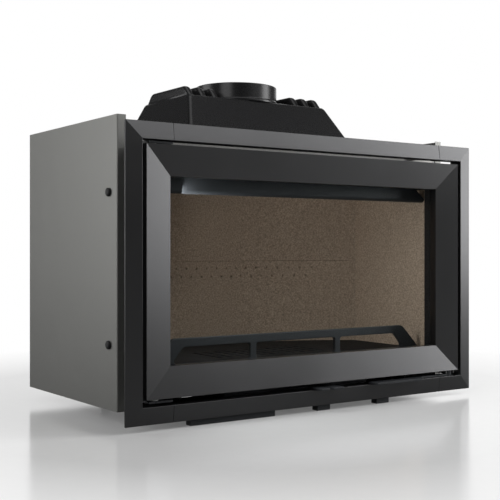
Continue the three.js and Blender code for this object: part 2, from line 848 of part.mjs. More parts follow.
function baffle() {
  const plan = chamberPlan(fireHalf + liningThickness, baffleFront, liningThickness);
  return piece("baffle_plate", raise(plan, baffleBottom, baffleBottom + baffleThickness), "brick");
}

// The rolled plate behind the top of the glass that turns washing air down over it.
function airWashDeflector() {
  const front = shellFront;
  const bottom = paneTop - deflectorDrop;
  const top = shellTop - deflectorTopGap;
  const nose = Array.from({ length: noseSteps + 1 }, (_, k) => {
    const angle = Math.PI + (k / noseSteps) * Math.PI;
    return [
      front + deflectorNose + deflectorNose * Math.cos(angle),
      bottom + deflectorNose + deflectorNose * Math.sin(angle),
    ];
  });
  const profile = [
    ...nose,
    [front + 2 * deflectorNose, bottom + 2 * deflectorNose],
    [front + deflectorPlate, bottom + deflectorTaper],
    [front + deflectorPlate, top],
    [front, top],
  ];
  const half = fireHalf - fitGap;
  const { width, low, high } = deflectorCorner;
  const corners = [-1, 1].map((side) => {
    const points = [
      [side * (half + past), bottom + low],
      [side * (half + past), top + past],
      [side * (half - width), top + past],
      [side * (half - width), bottom + high],
    ];
    return frontPlate(points, front - past, front + 2 * deflectorNose + past);
  });
  const bar = sideProfile(profile, -half, half);
  return piece("air_wash_deflector", cut(bar, ...corners), "darkSteel");
}

function hearthPlate() {
  const half = fireHalf - fitGap;
  const back = grateFront + grateDepth;
  const body = raise(chamberPlan(half, shellFront, -fitGap), liningBottom, hearthTop - fitGap);
  const under = chamberPlan(half - hearthSkirt, shellFront + hearthSkirt, -hearthSkirt);
  const seat = hearthTop - grateThickness - fitGap;
  const recess = block(-grateHalfWidth, grateHalfWidth, grateFront, back, seat, hearthTop);
  const window = block(
    -grateHalfWidth + grateLedge,
    grateHalfWidth - grateLedge,
    grateFront + grateLedge,
    back - grateLedge,
    liningBottom,
    hearthTop,
  );
  const hollow = raise(under, 0, hearthTop - hearthThickness);
  return piece("hearth_plate", cut(body, hollow, recess, window), "castIron");
}

function grate() {
  const half = grateHalfWidth - fitGap;
  const back = grateFront + grateDepth;
  const pitch = (2 * (half - grateRim.side)) / grateSlots;
  const slots = Array.from({ length: grateSlots }, (_, k) => {
    const x = -half + grateRim.side + (k + 0.5) * pitch;
    const x0 = x - grateSlotWidth / 2;
    return rectangle(x0, x0 + grateSlotWidth, grateFront + grateRim.end, back - grateRim.end);
  });
  const plan = rectangle(-half, half, grateFront + fitGap, back - fitGap);
  const bottom = hearthTop - grateThickness;
  return piece("grate", raise(plan, bottom, hearthTop - fitGap, slots), "castIron");
}

function ashPan() {
  const x = grateHalfWidth - ashPanGap;
  const y0 = grateFront + ashPanGap;
  const y1 = grateFront + grateDepth - ashPanGap;
  const top = liningBottom + ashPanHeight;
  const tray = block(-x, x, y0, y1, liningBottom, top);
  const hollow = block(
    -x + sheet,
    x - sheet,
    y0 + sheet,
    y1 - sheet,
    liningBottom + sheet,
    top + past,
  );
  return piece("ash_pan", cut(tray, hollow), "darkSteel");
}

function logGuard() {
  const sill = hearthTop + fitGap;
  const top = sill + guardHeight;
  const toe = fireHalf - guardToeGap;
  const end = toe - guardRun; // where the top bar ends
  const { across, down, toe: toeStep } = guardCorner;
  const right = [
    [toe, sill],
    [toe - toeStep, sill + down],
    [end + toeStep, top - down],
    [end - across + toeStep, top],
  ];
  const mirrored = (points) => points.map(([x, z]) => [-x, z]).reverse();
  const lintel = top - guardBar;
  const floor = sill + guardSill;
  const postInside = guardPostCentre - guardPost / 2;
  const postOutside = guardPostCentre + guardPost / 2;
  const window = [
    [postOutside, floor],
    [end - guardEnd.bottom, floor],
    [end - guardEnd.top + guardEnd.corner, lintel - guardEnd.corner],
    [end - guardEnd.top, lintel],
    [postOutside, lintel],
  ];
  const openings = [rectangle(-postInside, postInside, floor, lintel), window, mirrored(window)];
  const front = shellFront + guardSetback;
  const plate = frontPlate([...right, ...mirrored(right)], front, front + guardThickness, openings);
  return piece("log_guard", plate, "darkSteel");
}

// ---------------------------------------------------------------- air supply
function airBox() {
  const inside = airBoxHalf - airBoxWall;
  const box = block(-airBoxHalf, airBoxHalf, airBoxFront, airBoxBack, airBoxBottom, airBoxTop);
  const hollow = block(
    -inside,
    inside,
    airBoxFront + airBoxWall,
    airBoxBack - airBoxWall,
    airBoxBottom + airBoxWall,
    airBoxTop + past,
  );
  const rods = block(
    ignitionTab[0] - rodSlot.side,
    combustionTab[1] + rodSlot.side,
    airBoxFront - past,
    airBoxFront + airBoxWall + past,
    bladeBottom - rodSlot.over,
    bladeBottom + leverThickness + rodSlot.over,
  );
  const inlet = cylinder(0, inletY, 0, airBoxTop, inletRadius + fitGap);
  return piece("air_box", cut(box, hollow, rods, inlet), "darkSteel");
}

function airInlet() {
  const flange = airBoxBottom + airBoxWall + fitGap;
  const profile = [
    [inletRadius - inletWall, inletBottom],
    [inletRadius, inletBottom],
    [inletRadius, flange],
    [inletRadius + inletFlange, flange],
    [inletRadius + inletFlange, flange + inletWall],
    [inletRadius - inletWall, flange + inletWall],
  ];
  const mesh = piece("air_inlet_spigot", turn(profile), "darkSteel");
  mesh.position.set(0, inletY, 0);
  return mesh;
}

// The ports of one valve, or of the seat above it, moved back by the shift.
function portSlots(x0, x1, shift) {
  return [0, 1].map((k) => {
    const y = portFront + k * portPitch + shift;
    return rectangle(x0 + portMargin, x1 - portMargin, y, y + portLength);
  });
}

// The ported plate that both valves slide under, the lipped rails that carry them, and the walls
// that keep the two air streams apart up to the base plate.
function valveSeat() {
  const bottom = bladeBottom + leverThickness + fitGap;
  const { left, right } = valveOuter;
  const x0 = left - fitGap - seatRail;
  const x1 = right + fitGap + seatRail;
  const y0 = airBoxFront + airBoxWall + fitGap;
  const y1 = valveRear + seatEnd;
  const ports = [
    ...portSlots(left, valveMiddle - valveSplit, 0),
    ...portSlots(valveMiddle + valveSplit, right, 0),
  ];
  const plate = raise(rectangle(x0, x1, y0, y1), bottom, bottom + seatThickness, ports);
  const { thickness, reach } = seatLip;
  const lipTop = bladeBottom - fitGap;
  const lipBottom = lipTop - thickness;
  const railTopZ = bottom + seatThickness / 2;
  const web0 = valveMiddle - seatWeb / 2;
  const web1 = valveMiddle + seatWeb / 2;
  const railFront = y0 + railSetback;
  const walls = [
    block(x0, x0 + sheet, y0, y1, bottom, airBoxTop),
    block(x1 - sheet, x1, y0, y1, bottom, airBoxTop),
    block(x0, x1, y0, y0 + sheet, bottom, airBoxTop),
    block(x0, x1, y1 - sheet, y1, bottom, airBoxTop),
    block(web0, web1, y0, y1, bottom, airBoxTop),
  ];
  const rails = [
    block(x0, x0 + seatRail, railFront, y1, lipBottom, railTopZ),
    block(x0, x0 + seatRail + reach, railFront, y1, lipBottom, lipTop),
    block(x1 - seatRail, x1, railFront, y1, lipBottom, railTopZ),
    block(x1 - seatRail - reach, x1, railFront, y1, lipBottom, lipTop),
    block(web0, web1, portFront, y1, lipBottom, railTopZ),
    block(valveMiddle - reach, valveMiddle + reach, portFront, y1, lipBottom, lipTop),
  ];
  return piece("air_valve_seat", join(plate, ...walls, ...rails), "brightSteel");
}

// A grip tab, its rod and its slotted valve plate, cut from one strip. It slides along Y.
function airLever(name, tab, x0, x1) {
  const centre = (tab[0] + tab[1]) / 2;
  const rod0 = centre - leverRod / 2;
  const rod1 = centre + leverRod / 2;
  const front = -leverProud;
  const valveFront = portFront - portMargin;
  const plan = [
    [tab[0] + leverChamfer, front],
    [tab[1] - leverChamfer, front],
    [tab[1], front + leverChamfer],
    [tab[1], front + leverGrip],
    [rod1, front + 2 * leverGrip],
    [rod1, valveFront],
    [x1, valveFront],
    [x1, valveRear],
    [x0, valveRear],
    [x0, valveFront],
    [rod0, valveFront],
    [rod0, front + 2 * leverGrip],
    [tab[0], front + leverGrip],
    [tab[0], front + leverChamfer],
  ];
  const slots = portSlots(x0, x1, leverTravel);
  const plate = raise(plan, bladeBottom, bladeBottom + leverThickness, slots);
  return piece(name, plate, "darkSteel");
}

// One of the two steel channels that carry the firebox on the casing's base.
function baseChannel(name, side) {
  const { gap, width, wall, front, rear } = channel;
  const back = backDepth - rear;
  const [x0, x1] = sideSpan(side, slotOuter + gap, slotOuter + gap + width);
  const body = block(x0, x1, front, back, airBoxBottom, airBoxTop);
  const hollow = block(
    x0 + wall,
    x1 - wall,
    front - past,
    back + past,
    airBoxBottom - past,
    airBoxTop - wall,
  );
  return piece(name, cut(body, hollow), "darkSteel");
}

// ---------------------------------------------------------------- door
function doorFrame() {
  const grooveIn = ropeFromGlassEdge - ropeWidth / 2 - fitGap;
  const grooveOut = ropeFromGlassEdge + ropeWidth / 2 + fitGap;
  const wallOut = grooveOut + ropeGrooveWall;
  const edgeIn = doorRail - doorSkin;
  const retainerSeat = glassLand + glassTape + glassThickness + 2 * fitGap;
  const glassEdge = glassOverlap + glassEdgeGap;
  const face = (out) => doorSlope - doorProud - (doorSlope * out) / doorRail;
  const section = [
    [0, face(0)],
    [0, glassLand],
    [glassEdge, glassLand],
    [glassEdge, retainerSeat],
    [grooveIn, retainerSeat],
    [grooveIn, ropeFloor],
    [grooveOut, ropeFloor],
    [grooveOut, ropeGrooveRim],
    [wallOut, ropeGrooveRim],
    [wallOut, face(wallOut) + doorSkin],
    [edgeIn, face(edgeIn) + doorSkin],
    [edgeIn, doorEdgeDepth],
    [doorRail, doorEdgeDepth],
    [doorRail, face(doorRail)],
  ];
  const ring = mitredRing(paneHalf, paneBottom, paneTop, section);
  const bore = pinRadius + runningGap;
  const depth = pinLength + past;
  return piece(
    "door_frame",
    cut(
      ring,
      cylinder(hinge.x, hinge.y, doorTop - depth, doorTop + past, bore),
      cylinder(hinge.x, hinge.y, doorBottom - past, doorBottom + depth, bore),
      cylinder(pivot.x, pivot.y, doorBottom - past, doorBottom + depth, bore),
    ),
    "door",
  );
}

function doorGlass() {
  const half = paneHalf + glassOverlap;
  const front = glassLand + glassTape + fitGap;
  const z0 = paneBottom - glassOverlap;
  const z1 = paneTop + glassOverlap;
  return piece("door_glass", block(-half, half, front, front + glassThickness, z0, z1), "glass");
}

function glassGasket() {
  const front = glassLand + fitGap / 2;
  const outer = glassOverlap - glassEdgeGap;
  const section = rectangle(tapeInset, outer, front, glassLand + glassTape);
  return piece("glass_gasket", mitredRing(paneHalf, paneBottom, paneTop, section), "rope");
}

function doorRope() {
  const depth = (ropeRear - ropeFloor - fitGap) / 2;
  const centre = ropeFloor + fitGap + depth;
  const section = Array.from({ length: ropeSides }, (_, k) => {
    const angle = ((k + 0.5) / ropeSides) * 2 * Math.PI;
    return [
      ropeFromGlassEdge + (ropeWidth / 2) * Math.cos(angle),
      centre + depth * Math.sin(angle),
    ];
  });
  return piece("door_rope_seal", mitredRing(paneHalf, paneBottom, paneTop, section), "rope");
}

// A flat strip screwed to the frame beside the glass, lapping over its edge.
function glassRetainer(name, side) {
  const seat = glassLand + glassTape + glassThickness + 3 * fitGap;
  const inner = paneHalf + glassOverlap - retainerLap;
  const outer = paneHalf + ropeFromGlassEdge - ropeWidth / 2 - 3 * fitGap;
  const [x0, x1] = sideSpan(side, inner, outer);
  const z0 = (paneTop + paneBottom - retainerLength) / 2;
  const strip = block(x0, x1, seat, seat + retainerThickness, z0, z0 + retainerLength);
  return piece(name, strip, "brightSteel");
}

// ---------------------------------------------------------------- hinges, catch and handle
// A plate that holds a hinge pin, with a leaf on the front frame.
function hingeBracket(name, plateBottom, leafBottom, leafTop) {
  const x0 = hinge.x - bracketReach.outer;
  const x1 = hinge.x + bracketReach.inner;
  const front = hinge.y - bracketReach.front;
  const back = frameFront - fitGap;
  const plateTop = plateBottom + bracketThickness;
  const bore = pinRadius + runningGap;
  const plate = block(x0, x1, front, back, plateBottom, plateTop);
  const leaf = block(x0, x1, back - bracketLeaf.thickness, back, leafBottom, leafTop);
  const hole = cylinder(hinge.x, hinge.y, plateBottom - past, plateTop + past, bore);
  return piece(name, cut(join(plate, leaf), hole), "darkSteel");
}

function hingePinTop() {
  const top = upperBracketBottom + bracketThickness;
  const pin = cylinder(hinge.x, hinge.y, doorTop - pinLength, top, pinRadius);
  return piece("hinge_pin_top", pin, "brightSteel");
}

// The lower pin has a collar that carries the door's weight.
function hingePinBottom() {
  const collarBottom = lowerBracketBottom + bracketThickness + fitGap;
  const pinTop = doorBottom + pinLength;
  const pin = cylinder(hinge.x, hinge.y, lowerBracketBottom, pinTop, pinRadius);
  const collar = cylinder(hinge.x, hinge.y, collarBottom, doorBottom - fitGap, 2 * pinRadius);
  return piece("hinge_pin_bottom", join(pin, collar), "brightSteel");
}

// A flat blade with a grip at its left end, turning on a hub under the door's right corner.
function doorHandle() {
  const inner = pivot.x - handleGrip.inner;
  const outer = pivot.x - handleGrip.outer;
  const { front, back } = handleGrip;
  const { small, large, front: frontCorner, neck, heel } = handleCorner;
  const armFront = pivot.y - handleArm / 2;
  const armBack = pivot.y + handleArm / 2;
  const blade = raise(
    [
      [inner + small, front],
      [outer - large, front],
      [outer, front + frontCorner],
      [outer + neck, armFront],
      [pivot.x, armFront],
      [pivot.x, armBack],
      [outer + neck, armBack],
      [outer - heel, back],
      [inner + small, back],
      [inner, back - small],
      [inner, front + small],
    ],
    bladeBottom,
    bladeBottom + handleThickness,
  );
  const hub = cylinder(pivot.x, pivot.y, bladeBottom, doorBottom - fitGap, hubRadius);
  const bore = cylinder(pivot.x, pivot.y, 0, doorBottom, pinRadius + runningGap);
  const sinkTop = bladeBottom + pivotHead.height + pivotHead.recess;
  const sinkRadius = pivotHead.radius + pivotHead.gap;
  const sink = cylinder(pivot.x, pivot.y, bladeBottom - past, sinkTop, sinkRadius);
  return piece("door_handle", cut(join(blade, hub), bore, sink), "darkSteel");
}

function handlePivot() {
  const headTop = bladeBottom + pivotHead.height;
  const head = cylinder(pivot.x, pivot.y, bladeBottom, headTop, pivotHead.radius);
  const shankBottom = bladeBottom + pivotHead.height / 2;
  const shank = cylinder(pivot.x, pivot.y, shankBottom, doorBottom + pinLength, pinRadius);
  return piece("handle_pivot_screw", join(head, shank), "brightSteel");
}

// Two spring arms, fixed to the front frame, that the handle's hub slips between.
function doorCatch() {
  const inside = hubRadius + catchGap;
  const outside = inside + catchSpring;
  const armFront = pivot.y - hubRadius;
  const base = frameFront - fitGap - catchLeaf.thickness;
  const z0 = bladeBottom + handleThickness + catchClear;
  const z1 = doorBottom - catchClear;
  const fork = raise(
    [
      [pivot.x - outside, armFront],
      [pivot.x - inside, armFront],
      [pivot.x - inside, base - catchBridge],
      [pivot.x + inside, base - catchBridge],
      [pivot.x + inside, armFront],
      [pivot.x + outside, armFront],
      [pivot.x + outside, base + past],
      [pivot.x - outside, base + past],
    ],
    z0,
    z1,
  );
  const leaf = block(
    pivot.x - catchLeaf.half,
    pivot.x + catchLeaf.half,
    base,
    frameFront - fitGap,
    z0,
    z0 + catchLeaf.height,
  );
  return piece("door_catch", join(fork, leaf), "brightSteel");
}

// ---------------------------------------------------------------- assembly
function gather(...meshes) {
  const group = new THREE.Group();
  group.add(...meshes);
  return group;
}

const lowerBolt = casingBottom + boltLift;
const upperBolt = casingTop - boltDrop;
const casing = gather(
  casingSide("casing_left_panel", -1),
  casingSide("casing_right_panel", 1),
  casingBackPanel(),
  casingTopRail(),
  casingBase(),
  foot("foot_front_left", -footSide, footFront),
  foot("foot_front_right", footSide, footFront),
  foot("foot_rear_left", -footSide, footRear),
  foot("foot_rear_right", footSide, footRear),
  casingBolt("casing_bolt_left_lower", -1, lowerBolt),
  casingBolt("casing_bolt_left_upper", -1, upperBolt),
  casingBolt("casing_bolt_right_lower", 1, lowerBolt),
  casingBolt("casing_bolt_right_upper", 1, upperBolt),
);

const surround = gather(
  ...surroundPieces(),
  ...Object.entries(surroundPads).map(([name, span]) => surroundPad(name, span)),
  surroundTie("surround_tie_left", -1),
  surroundTie("surround_tie_right", 1),
);

const firebox = gather(
  frontFrame(),
  fireboxShell(),
  basePlate(),
  topPlatePiece(),
  smokeDome(),
  flueCollar(),
  liningSide("lining_left", -1),
  liningSide("lining_right", 1),
  liningBack("lining_back_lower", liningBottom, backJoint - fitGap / 2, airHoles()),
  liningBack("lining_back_upper", backJoint + fitGap / 2, liningTop, []),
  rearDuct(),
  baffle(),
  airWashDeflector(),
  hearthPlate(),
  grate(),
  ashPan(),
  logGuard(),
  baseChannel("base_channel_left", -1),
  baseChannel("base_channel_right", 1),
);

const ignitionSpan = [valveOuter.left, valveMiddle - valveSplit];
const combustionSpan = [valveMiddle + valveSplit, valveOuter.right];
const airSupply = gather(
  airBox(),
  airInlet(),
  valveSeat(),
  airLever("ignition_air_lever", ignitionTab, ...ignitionSpan),
  airLever("combustion_air_lever", combustionTab, ...combustionSpan),
);

const door = gather(
  doorFrame(),
  doorGlass(),
  glassGasket(),
  doorRope(),
  glassRetainer("glass_retainer_left", -1),
  glassRetainer("glass_retainer_right", 1),
  handlePivot(),
  gather(doorHandle()),
);

const upperLeaf = [frameTop - bracketLeaf.height, upperBracketBottom + past];
const lowerLeaf = [lowerBracketBottom + past, frameBottom + bracketLeaf.height];
const hardware = gather(
  hingeBracket("hinge_bracket_top", upperBracketBottom, ...upperLeaf),
  hingeBracket("hinge_bracket_bottom", lowerBracketBottom, ...lowerLeaf),
  hingePinTop(),
  hingePinBottom(),
  doorCatch(),
);

const insert = gather(casing, surround, firebox, airSupply, door, hardware);
insert.position.set(0, originShift, 0);

export default insert;
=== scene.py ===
"""Finished look of a wood-burning fireplace insert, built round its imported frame.

Metres, +X to the right along the front, +Y to the back, +Z up. The door faces -Y.
"""
import json
import math

import bmesh
import bpy
from mathutils import Matrix, Vector


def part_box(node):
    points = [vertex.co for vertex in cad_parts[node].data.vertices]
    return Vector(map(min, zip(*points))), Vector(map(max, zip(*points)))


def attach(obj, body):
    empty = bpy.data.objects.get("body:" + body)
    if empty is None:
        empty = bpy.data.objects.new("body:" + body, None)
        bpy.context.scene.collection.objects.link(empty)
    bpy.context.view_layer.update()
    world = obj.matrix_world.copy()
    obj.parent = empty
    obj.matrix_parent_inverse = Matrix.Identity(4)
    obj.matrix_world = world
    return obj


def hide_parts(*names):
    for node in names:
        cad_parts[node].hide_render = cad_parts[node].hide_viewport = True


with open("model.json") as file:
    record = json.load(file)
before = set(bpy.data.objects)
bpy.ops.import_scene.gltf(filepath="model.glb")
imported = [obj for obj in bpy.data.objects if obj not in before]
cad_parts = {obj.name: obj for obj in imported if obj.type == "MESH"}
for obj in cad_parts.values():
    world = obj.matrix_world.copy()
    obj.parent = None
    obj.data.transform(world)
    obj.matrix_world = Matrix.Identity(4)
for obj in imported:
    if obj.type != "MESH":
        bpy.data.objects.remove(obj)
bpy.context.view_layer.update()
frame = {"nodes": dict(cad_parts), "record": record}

bl_info = {
    "name": "Fireplace insert",
    "version": (1, 0, 0),
    "blender": (4, 5, 0),
    "location": "View3D > Sidebar > Fireplace",
    "description": "Builds a glazed fireplace insert and its studio",
    "category": "Object",
}

MM = 0.001
SLOT_OF = {row["node"]: row["material_slot"] for row in frame["record"]["subparts"]}
BODIES = frame["record"]["behaviour"]["bodies"]
BODY_OF = {node: body for body, nodes in BODIES.items() for node in nodes}
WELD = 0.005 * MM  # corners closer than this are merged
FLAT = math.radians(1)
EDGE_ANGLE = math.radians(32)
MITRE_ANGLE = math.radians(6)  # also rounds the shallow mitres of the surround and the door
FULL_TURN = 2 * math.pi
QUARTER_TURN = math.pi / 2
DOME_LEAN = {"side": 0.37, "front": 0.665, "back": 0.5}  # inwards for each metre up
SEAM = 0.3 * MM  # gap between the collar and the dome
AIR_HOLES = 20  # in the upper row, and one fewer in the lower row
AIR_ROW_DROP = {"Upper Row": 15.7 * MM, "Lower Row": 33.5 * MM}  # below the back bricks' joint


def tone(red, green, blue):
    """A display colour from 0 to 255 as the linear colour that Blender works in."""
    shares = (value / 255 for value in (red, green, blue))
    return tuple(s / 12.92 if s < 0.04045 else ((s + 0.055) / 1.055) ** 2.4 for s in shares)


# ---- sizes and colours
def length(label, millimetres, description):
    """A length property, written in millimetres and held in metres."""
    return bpy.props.FloatProperty(
        name=label,
        description=description,
        default=millimetres * MM,
        min=0.0,
        subtype="DISTANCE",
        unit="LENGTH",
        precision=5,
    )


def colour(label, display, description):
    """A colour property, written as a display colour from 0 to 255."""
    return bpy.props.FloatVectorProperty(
        name=label,
        description=description,
        default=tone(*display),
        size=3,
        min=0.0,
        max=1.0,
        subtype="COLOR",
    )


class InsertSizes(bpy.types.PropertyGroup):
    """Sizes of the rounded, folded and cast shapes."""

    arris: length("Casting arris", 0.7, "Rounding along the edges of the painted castings")
    sheet_edge: length("Sheet edge", 0.3, "Rounding along a cut sheet's edges")
    sheet: length("Sheet", 1.5, "Thickness of the casing's sheet")
    bend: length("Sheet bend", 2.4, "Outer radius of the casing's folds")
    front_flange: length("Front flange", 16.9, "Width of the casing's front flange")
    rear_flange: length("Rear flange", 18.0, "Width of the casing's rear flange")
    dome_wall: length("Dome wall", 5.0, "Thickness of the smoke dome")
    dome_corner: length("Dome corner", 6.5, "Radius of the dome's upright corners")
    dome_edge: length("Dome edge", 6.0, "Rounding round the dome's top")
    dome_flange: length("Dome flange", 10.0, "How far the dome's foot stands out")
    dome_skirt: length("Dome skirt", 41.4, "Height of the dome's upright part")
    rib_width: length("Rib width", 15.0, "Width of each rib on the dome")
    rib_height: length("Rib height", 19.5, "Height of each rib above the dome")
    rib_round: length("Rib rounding", 5.5, "Rounding along each rib")
    rib_end: length("Rib end", 18.0, "Radius at the ends of each rib")
    rib_pitch: length("Rib pitch", 28.0, "From one rib to the next")
    collar_bore: length("Collar bore", 75.0, "Inner radius of the flue collar")
    collar_wall: length("Collar wall", 9.0, "Wall of the flue collar")
    collar_foot: length("Collar foot", 2.2, "How far the collar's foot stands out")
    air_hole: length("Air hole", 2.2, "Radius of the air holes in the back")
    air_pitch: length("Air hole pitch", 25.4, "From one air hole to the next")
    back_radius: length("Back radius", 428.0, "Radius of the curved back lining")
    back_flat: length("Back flat", 55.7, "Half of the flat stretch in the middle of the back")
    lining: length("Lining", 25.0, "Thickness of the lining")
    rope_lump: length("Rope lump", 0.45, "How far the rope's strands stand out")
    rope_lay: length("Rope lay", 7.0, "Length of one turn of the rope's strands")


class InsertColours(bpy.types.PropertyGroup):
    """Base colour of each finish."""

    surround_paint: colour("Surround", (89, 89, 90), "Graphite paint on the surround")
    door_paint: colour("Door", (89, 89, 90), "Graphite paint on the door")
    galvanised_sheet: colour("Casing", (150, 150, 147), "Zinc-coated sheet")
    black_cast_iron: colour("Cast iron", (44, 44, 45), "Painted cast iron")
    black_steel: colour("Black steel", (52, 54, 57), "Painted steel")
    refractory_board: colour("Lining", (190, 169, 149), "Mineral board")
    plain_steel: colour("Bare steel", (172, 172, 170), "Bright steel")
    black_bolts: colour("Bolts", (38, 38, 39), "Blackened bolts")
    clear_glass: colour("Glass", (248, 250, 250), "Fire glass")
    seal_fibre: colour("Seal", (96, 93, 88), "Glass fibre rope and tape")


# ---- node building
class Signal:
    """A node's output that takes part in arithmetic by adding Math nodes."""

    def __init__(self, graph, socket):
        self.graph = graph
        self.socket = socket

    def combine(self, operation, first, second):
        return self.graph.node("ShaderNodeMath", {"operation": operation}, {0: first, 1: second})

    def other(self, output):
        """Another output of the same node."""
        return Signal(self.graph, find_socket(self.socket.node.outputs, output))

    def __add__(self, value):
        return self.combine("ADD", self, value)

    def __sub__(self, value):
        return self.combine("SUBTRACT", self, value)

    def __rsub__(self, value):
        return self.combine("SUBTRACT", value, self)

    def __mul__(self, value):
        return self.combine("MULTIPLY", self, value)

    def __truediv__(self, value):
        return self.combine("DIVIDE", self, value)

    def __rtruediv__(self, value):
        return self.combine("DIVIDE", value, self)

    __radd__ = __add__
    __rmul__ = __mul__


def find_socket(sockets, key):
    """A socket by its place in the row, its identifier or its label."""
    if isinstance(key, int):
        return sockets[key]
    for socket in sockets:
        if socket.identifier == key:
            return socket
    return sockets[key]


class Graph:
    """Adds nodes to a shader or geometry tree from plain values and signals."""

    def __init__(self, tree):
        self.tree = tree

    def node(self, kind, settings=None, sockets=None, output=0):
        made = self.tree.nodes.new(kind)
        for name, value in (settings or {}).items():
            setattr(made, name, value)
        for key, value in (sockets or {}).items():
            socket = find_socket(made.inputs, key)
            for part in value if isinstance(value, list) else [value]:
                if isinstance(part, Signal):
                    self.tree.links.new(part.socket, socket)
                else:
                    socket.default_value = part
        outputs = made.outputs
        return Signal(self, find_socket(outputs, output)) if len(outputs) else made

    def place(self, stretch=(1, 1, 1)):
        """Where a point of the surface is, in metres, with the pattern stretched."""
        here = self.node("ShaderNodeTexCoord", output="Object")
        return self.node("ShaderNodeMapping", None, {"Vector": here, "Scale": stretch})

    def noise(self, per_metre, detail=2.0, stretch=(1, 1, 1)):
        sockets = {"Vector": self.place(stretch), "Scale": per_metre, "Detail": detail}
        return self.node("ShaderNodeTexNoise", None, sockets)

    def remap(self, value, low, high, to_low=0.0, to_high=1.0):
        sockets = {0: value, 1: low, 2: high, 3: to_low, 4: to_high}
        return self.node("ShaderNodeMapRange", {"clamp": True}, sockets)

    def blend(self, amount, first, second):
        settings = {"data_type": "RGBA", "clamp_factor": True}
        sockets = {"Factor_Float": amount, "A_Color": first, "B_Color": second}
        return self.node("ShaderNodeMix", settings, sockets, "Result_Color")

    def bump(self, height, depth):
        return self.node("ShaderNodeBump", None, {"Height": height, "Distance": depth})

    def surface(self, **sockets):
        named = {name.replace("_", " "): value for name, value in sockets.items()}
        return self.node("ShaderNodeBsdfPrincipled", None, named)


def shade(base, factor):
    """A base colour made lighter or darker, with the alpha that colour sockets want."""
    return (*(min(1.0, channel * factor) for channel in base), 1.0)


# ---- finishes
def paint_finish(graph, base):
    """Satin graphite paint: fine powder grain, faint drift and slightly metallic."""
    grain = graph.noise(1500, 3)
    drift = graph.noise(7, 2)
    color = graph.blend(grain * 0.6 + drift * 0.4, shade(base, 0.86), shade(base, 1.16))
    roughness = graph.remap(drift, 0.3, 0.7, 0.3, 0.34) + grain * 0.04
    return graph.surface(
        Base_Color=color,
        Metallic=0.9,
        Roughness=roughness,
        Normal=graph.bump(grain, 0.03 * MM),
    )


def galvanised_finish(graph, base):
    """Zinc-coated sheet: faint crystals under fine rolling lines."""
    sockets = {"Vector": graph.place(), "Scale": 130.0}
    crystal = graph.node("ShaderNodeTexVoronoi", None, sockets, "Color")
    crystals = graph.node("ShaderNodeSeparateColor", None, {"Color": crystal})
    rolled = graph.noise(60, 4, (18, 18, 0.5))
    drift = graph.noise(5, 2)
    amount = crystals * 0.35 + rolled * 0.4 + drift * 0.25
    return graph.surface(
        Base_Color=graph.blend(amount, shade(base, 0.93), shade(base, 1.07)),
        Metallic=0.75,
        Roughness=graph.remap(amount, 0.2, 0.8, 0.4, 0.5),
        Normal=graph.bump(rolled, 0.02 * MM),
    )


def cast_finish(graph, base):
    """Painted cast iron: the grain of the sand mould shows through."""
    sand = graph.noise(750, 4)
    swell = graph.noise(60, 2)
    color = graph.blend(sand, shade(base, 0.8), shade(base, 1.25))
    return graph.surface(
        Base_Color=color,
        Metallic=0.25,
        Roughness=graph.remap(sand, 0.3, 0.7, 0.24, 0.3),
        Normal=graph.bump(sand * 0.7 + swell * 0.6, 0.03 * MM),
    )


def steel_finish(graph, base):
    """Matt black stove paint on flat steel."""
    grain = graph.noise(1100, 3)
    drift = graph.noise(14, 2)
    return graph.surface(
        Base_Color=graph.blend(grain * 0.5 + drift * 0.5, shade(base, 0.85), shade(base, 1.18)),
        Metallic=0.25,
        Roughness=graph.remap(drift, 0.3, 0.7, 0.46, 0.56),
        Normal=graph.bump(grain, 0.03 * MM),
    )


def board_finish(graph, base):
    """Dry mineral board: sand grains, dark specks and a cast surface that isn't quite flat."""
    sand = graph.remap(graph.noise(300, 4), 0.34, 0.66)
    pit = graph.noise(400, 2)
    cloud = graph.noise(11, 3)
    plain = graph.blend(sand, shade(base, 0.66), shade(base, 1.3))
    clouded = graph.blend(graph.remap(cloud, 0.35, 0.65) * 0.25, plain, shade(base, 0.85))
    specks = graph.remap(pit, 0.6, 0.68)
    color = graph.blend(specks * 0.5, clouded, shade(base, 0.35))
    return graph.surface(
        Base_Color=color,
        Roughness=graph.remap(sand, 0.0, 1.0, 0.85, 0.97),
        Normal=graph.bump(sand - specks * 0.5, 0.5 * MM),
    )


def soot_finish(graph, base):
    """Iron inside the fire chamber: dull, dark and dusty."""
    dust = graph.noise(26, 5)
    grit = graph.noise(500, 3)
    return graph.surface(
        Base_Color=graph.blend(graph.remap(dust, 0.4, 0.7), shade(base, 0.4), shade(base, 0.8)),
        Roughness=graph.remap(grit, 0.3, 0.7, 0.75, 0.9),
        Specular_IOR_Level=0.25,
        Normal=graph.bump(grit + dust, 0.2 * MM),
    )


def bright_finish(graph, base):
    """Bare steel, brushed along the piece."""
    brushed = graph.noise(240, 4, (1, 9, 9))
    return graph.surface(
        Base_Color=graph.blend(brushed, shade(base, 0.85), shade(base, 1.1)),
        Metallic=1.0,
        Roughness=graph.remap(brushed, 0.3, 0.7, 0.26, 0.42),
        Normal=graph.bump(brushed, 0.02 * MM),
    )


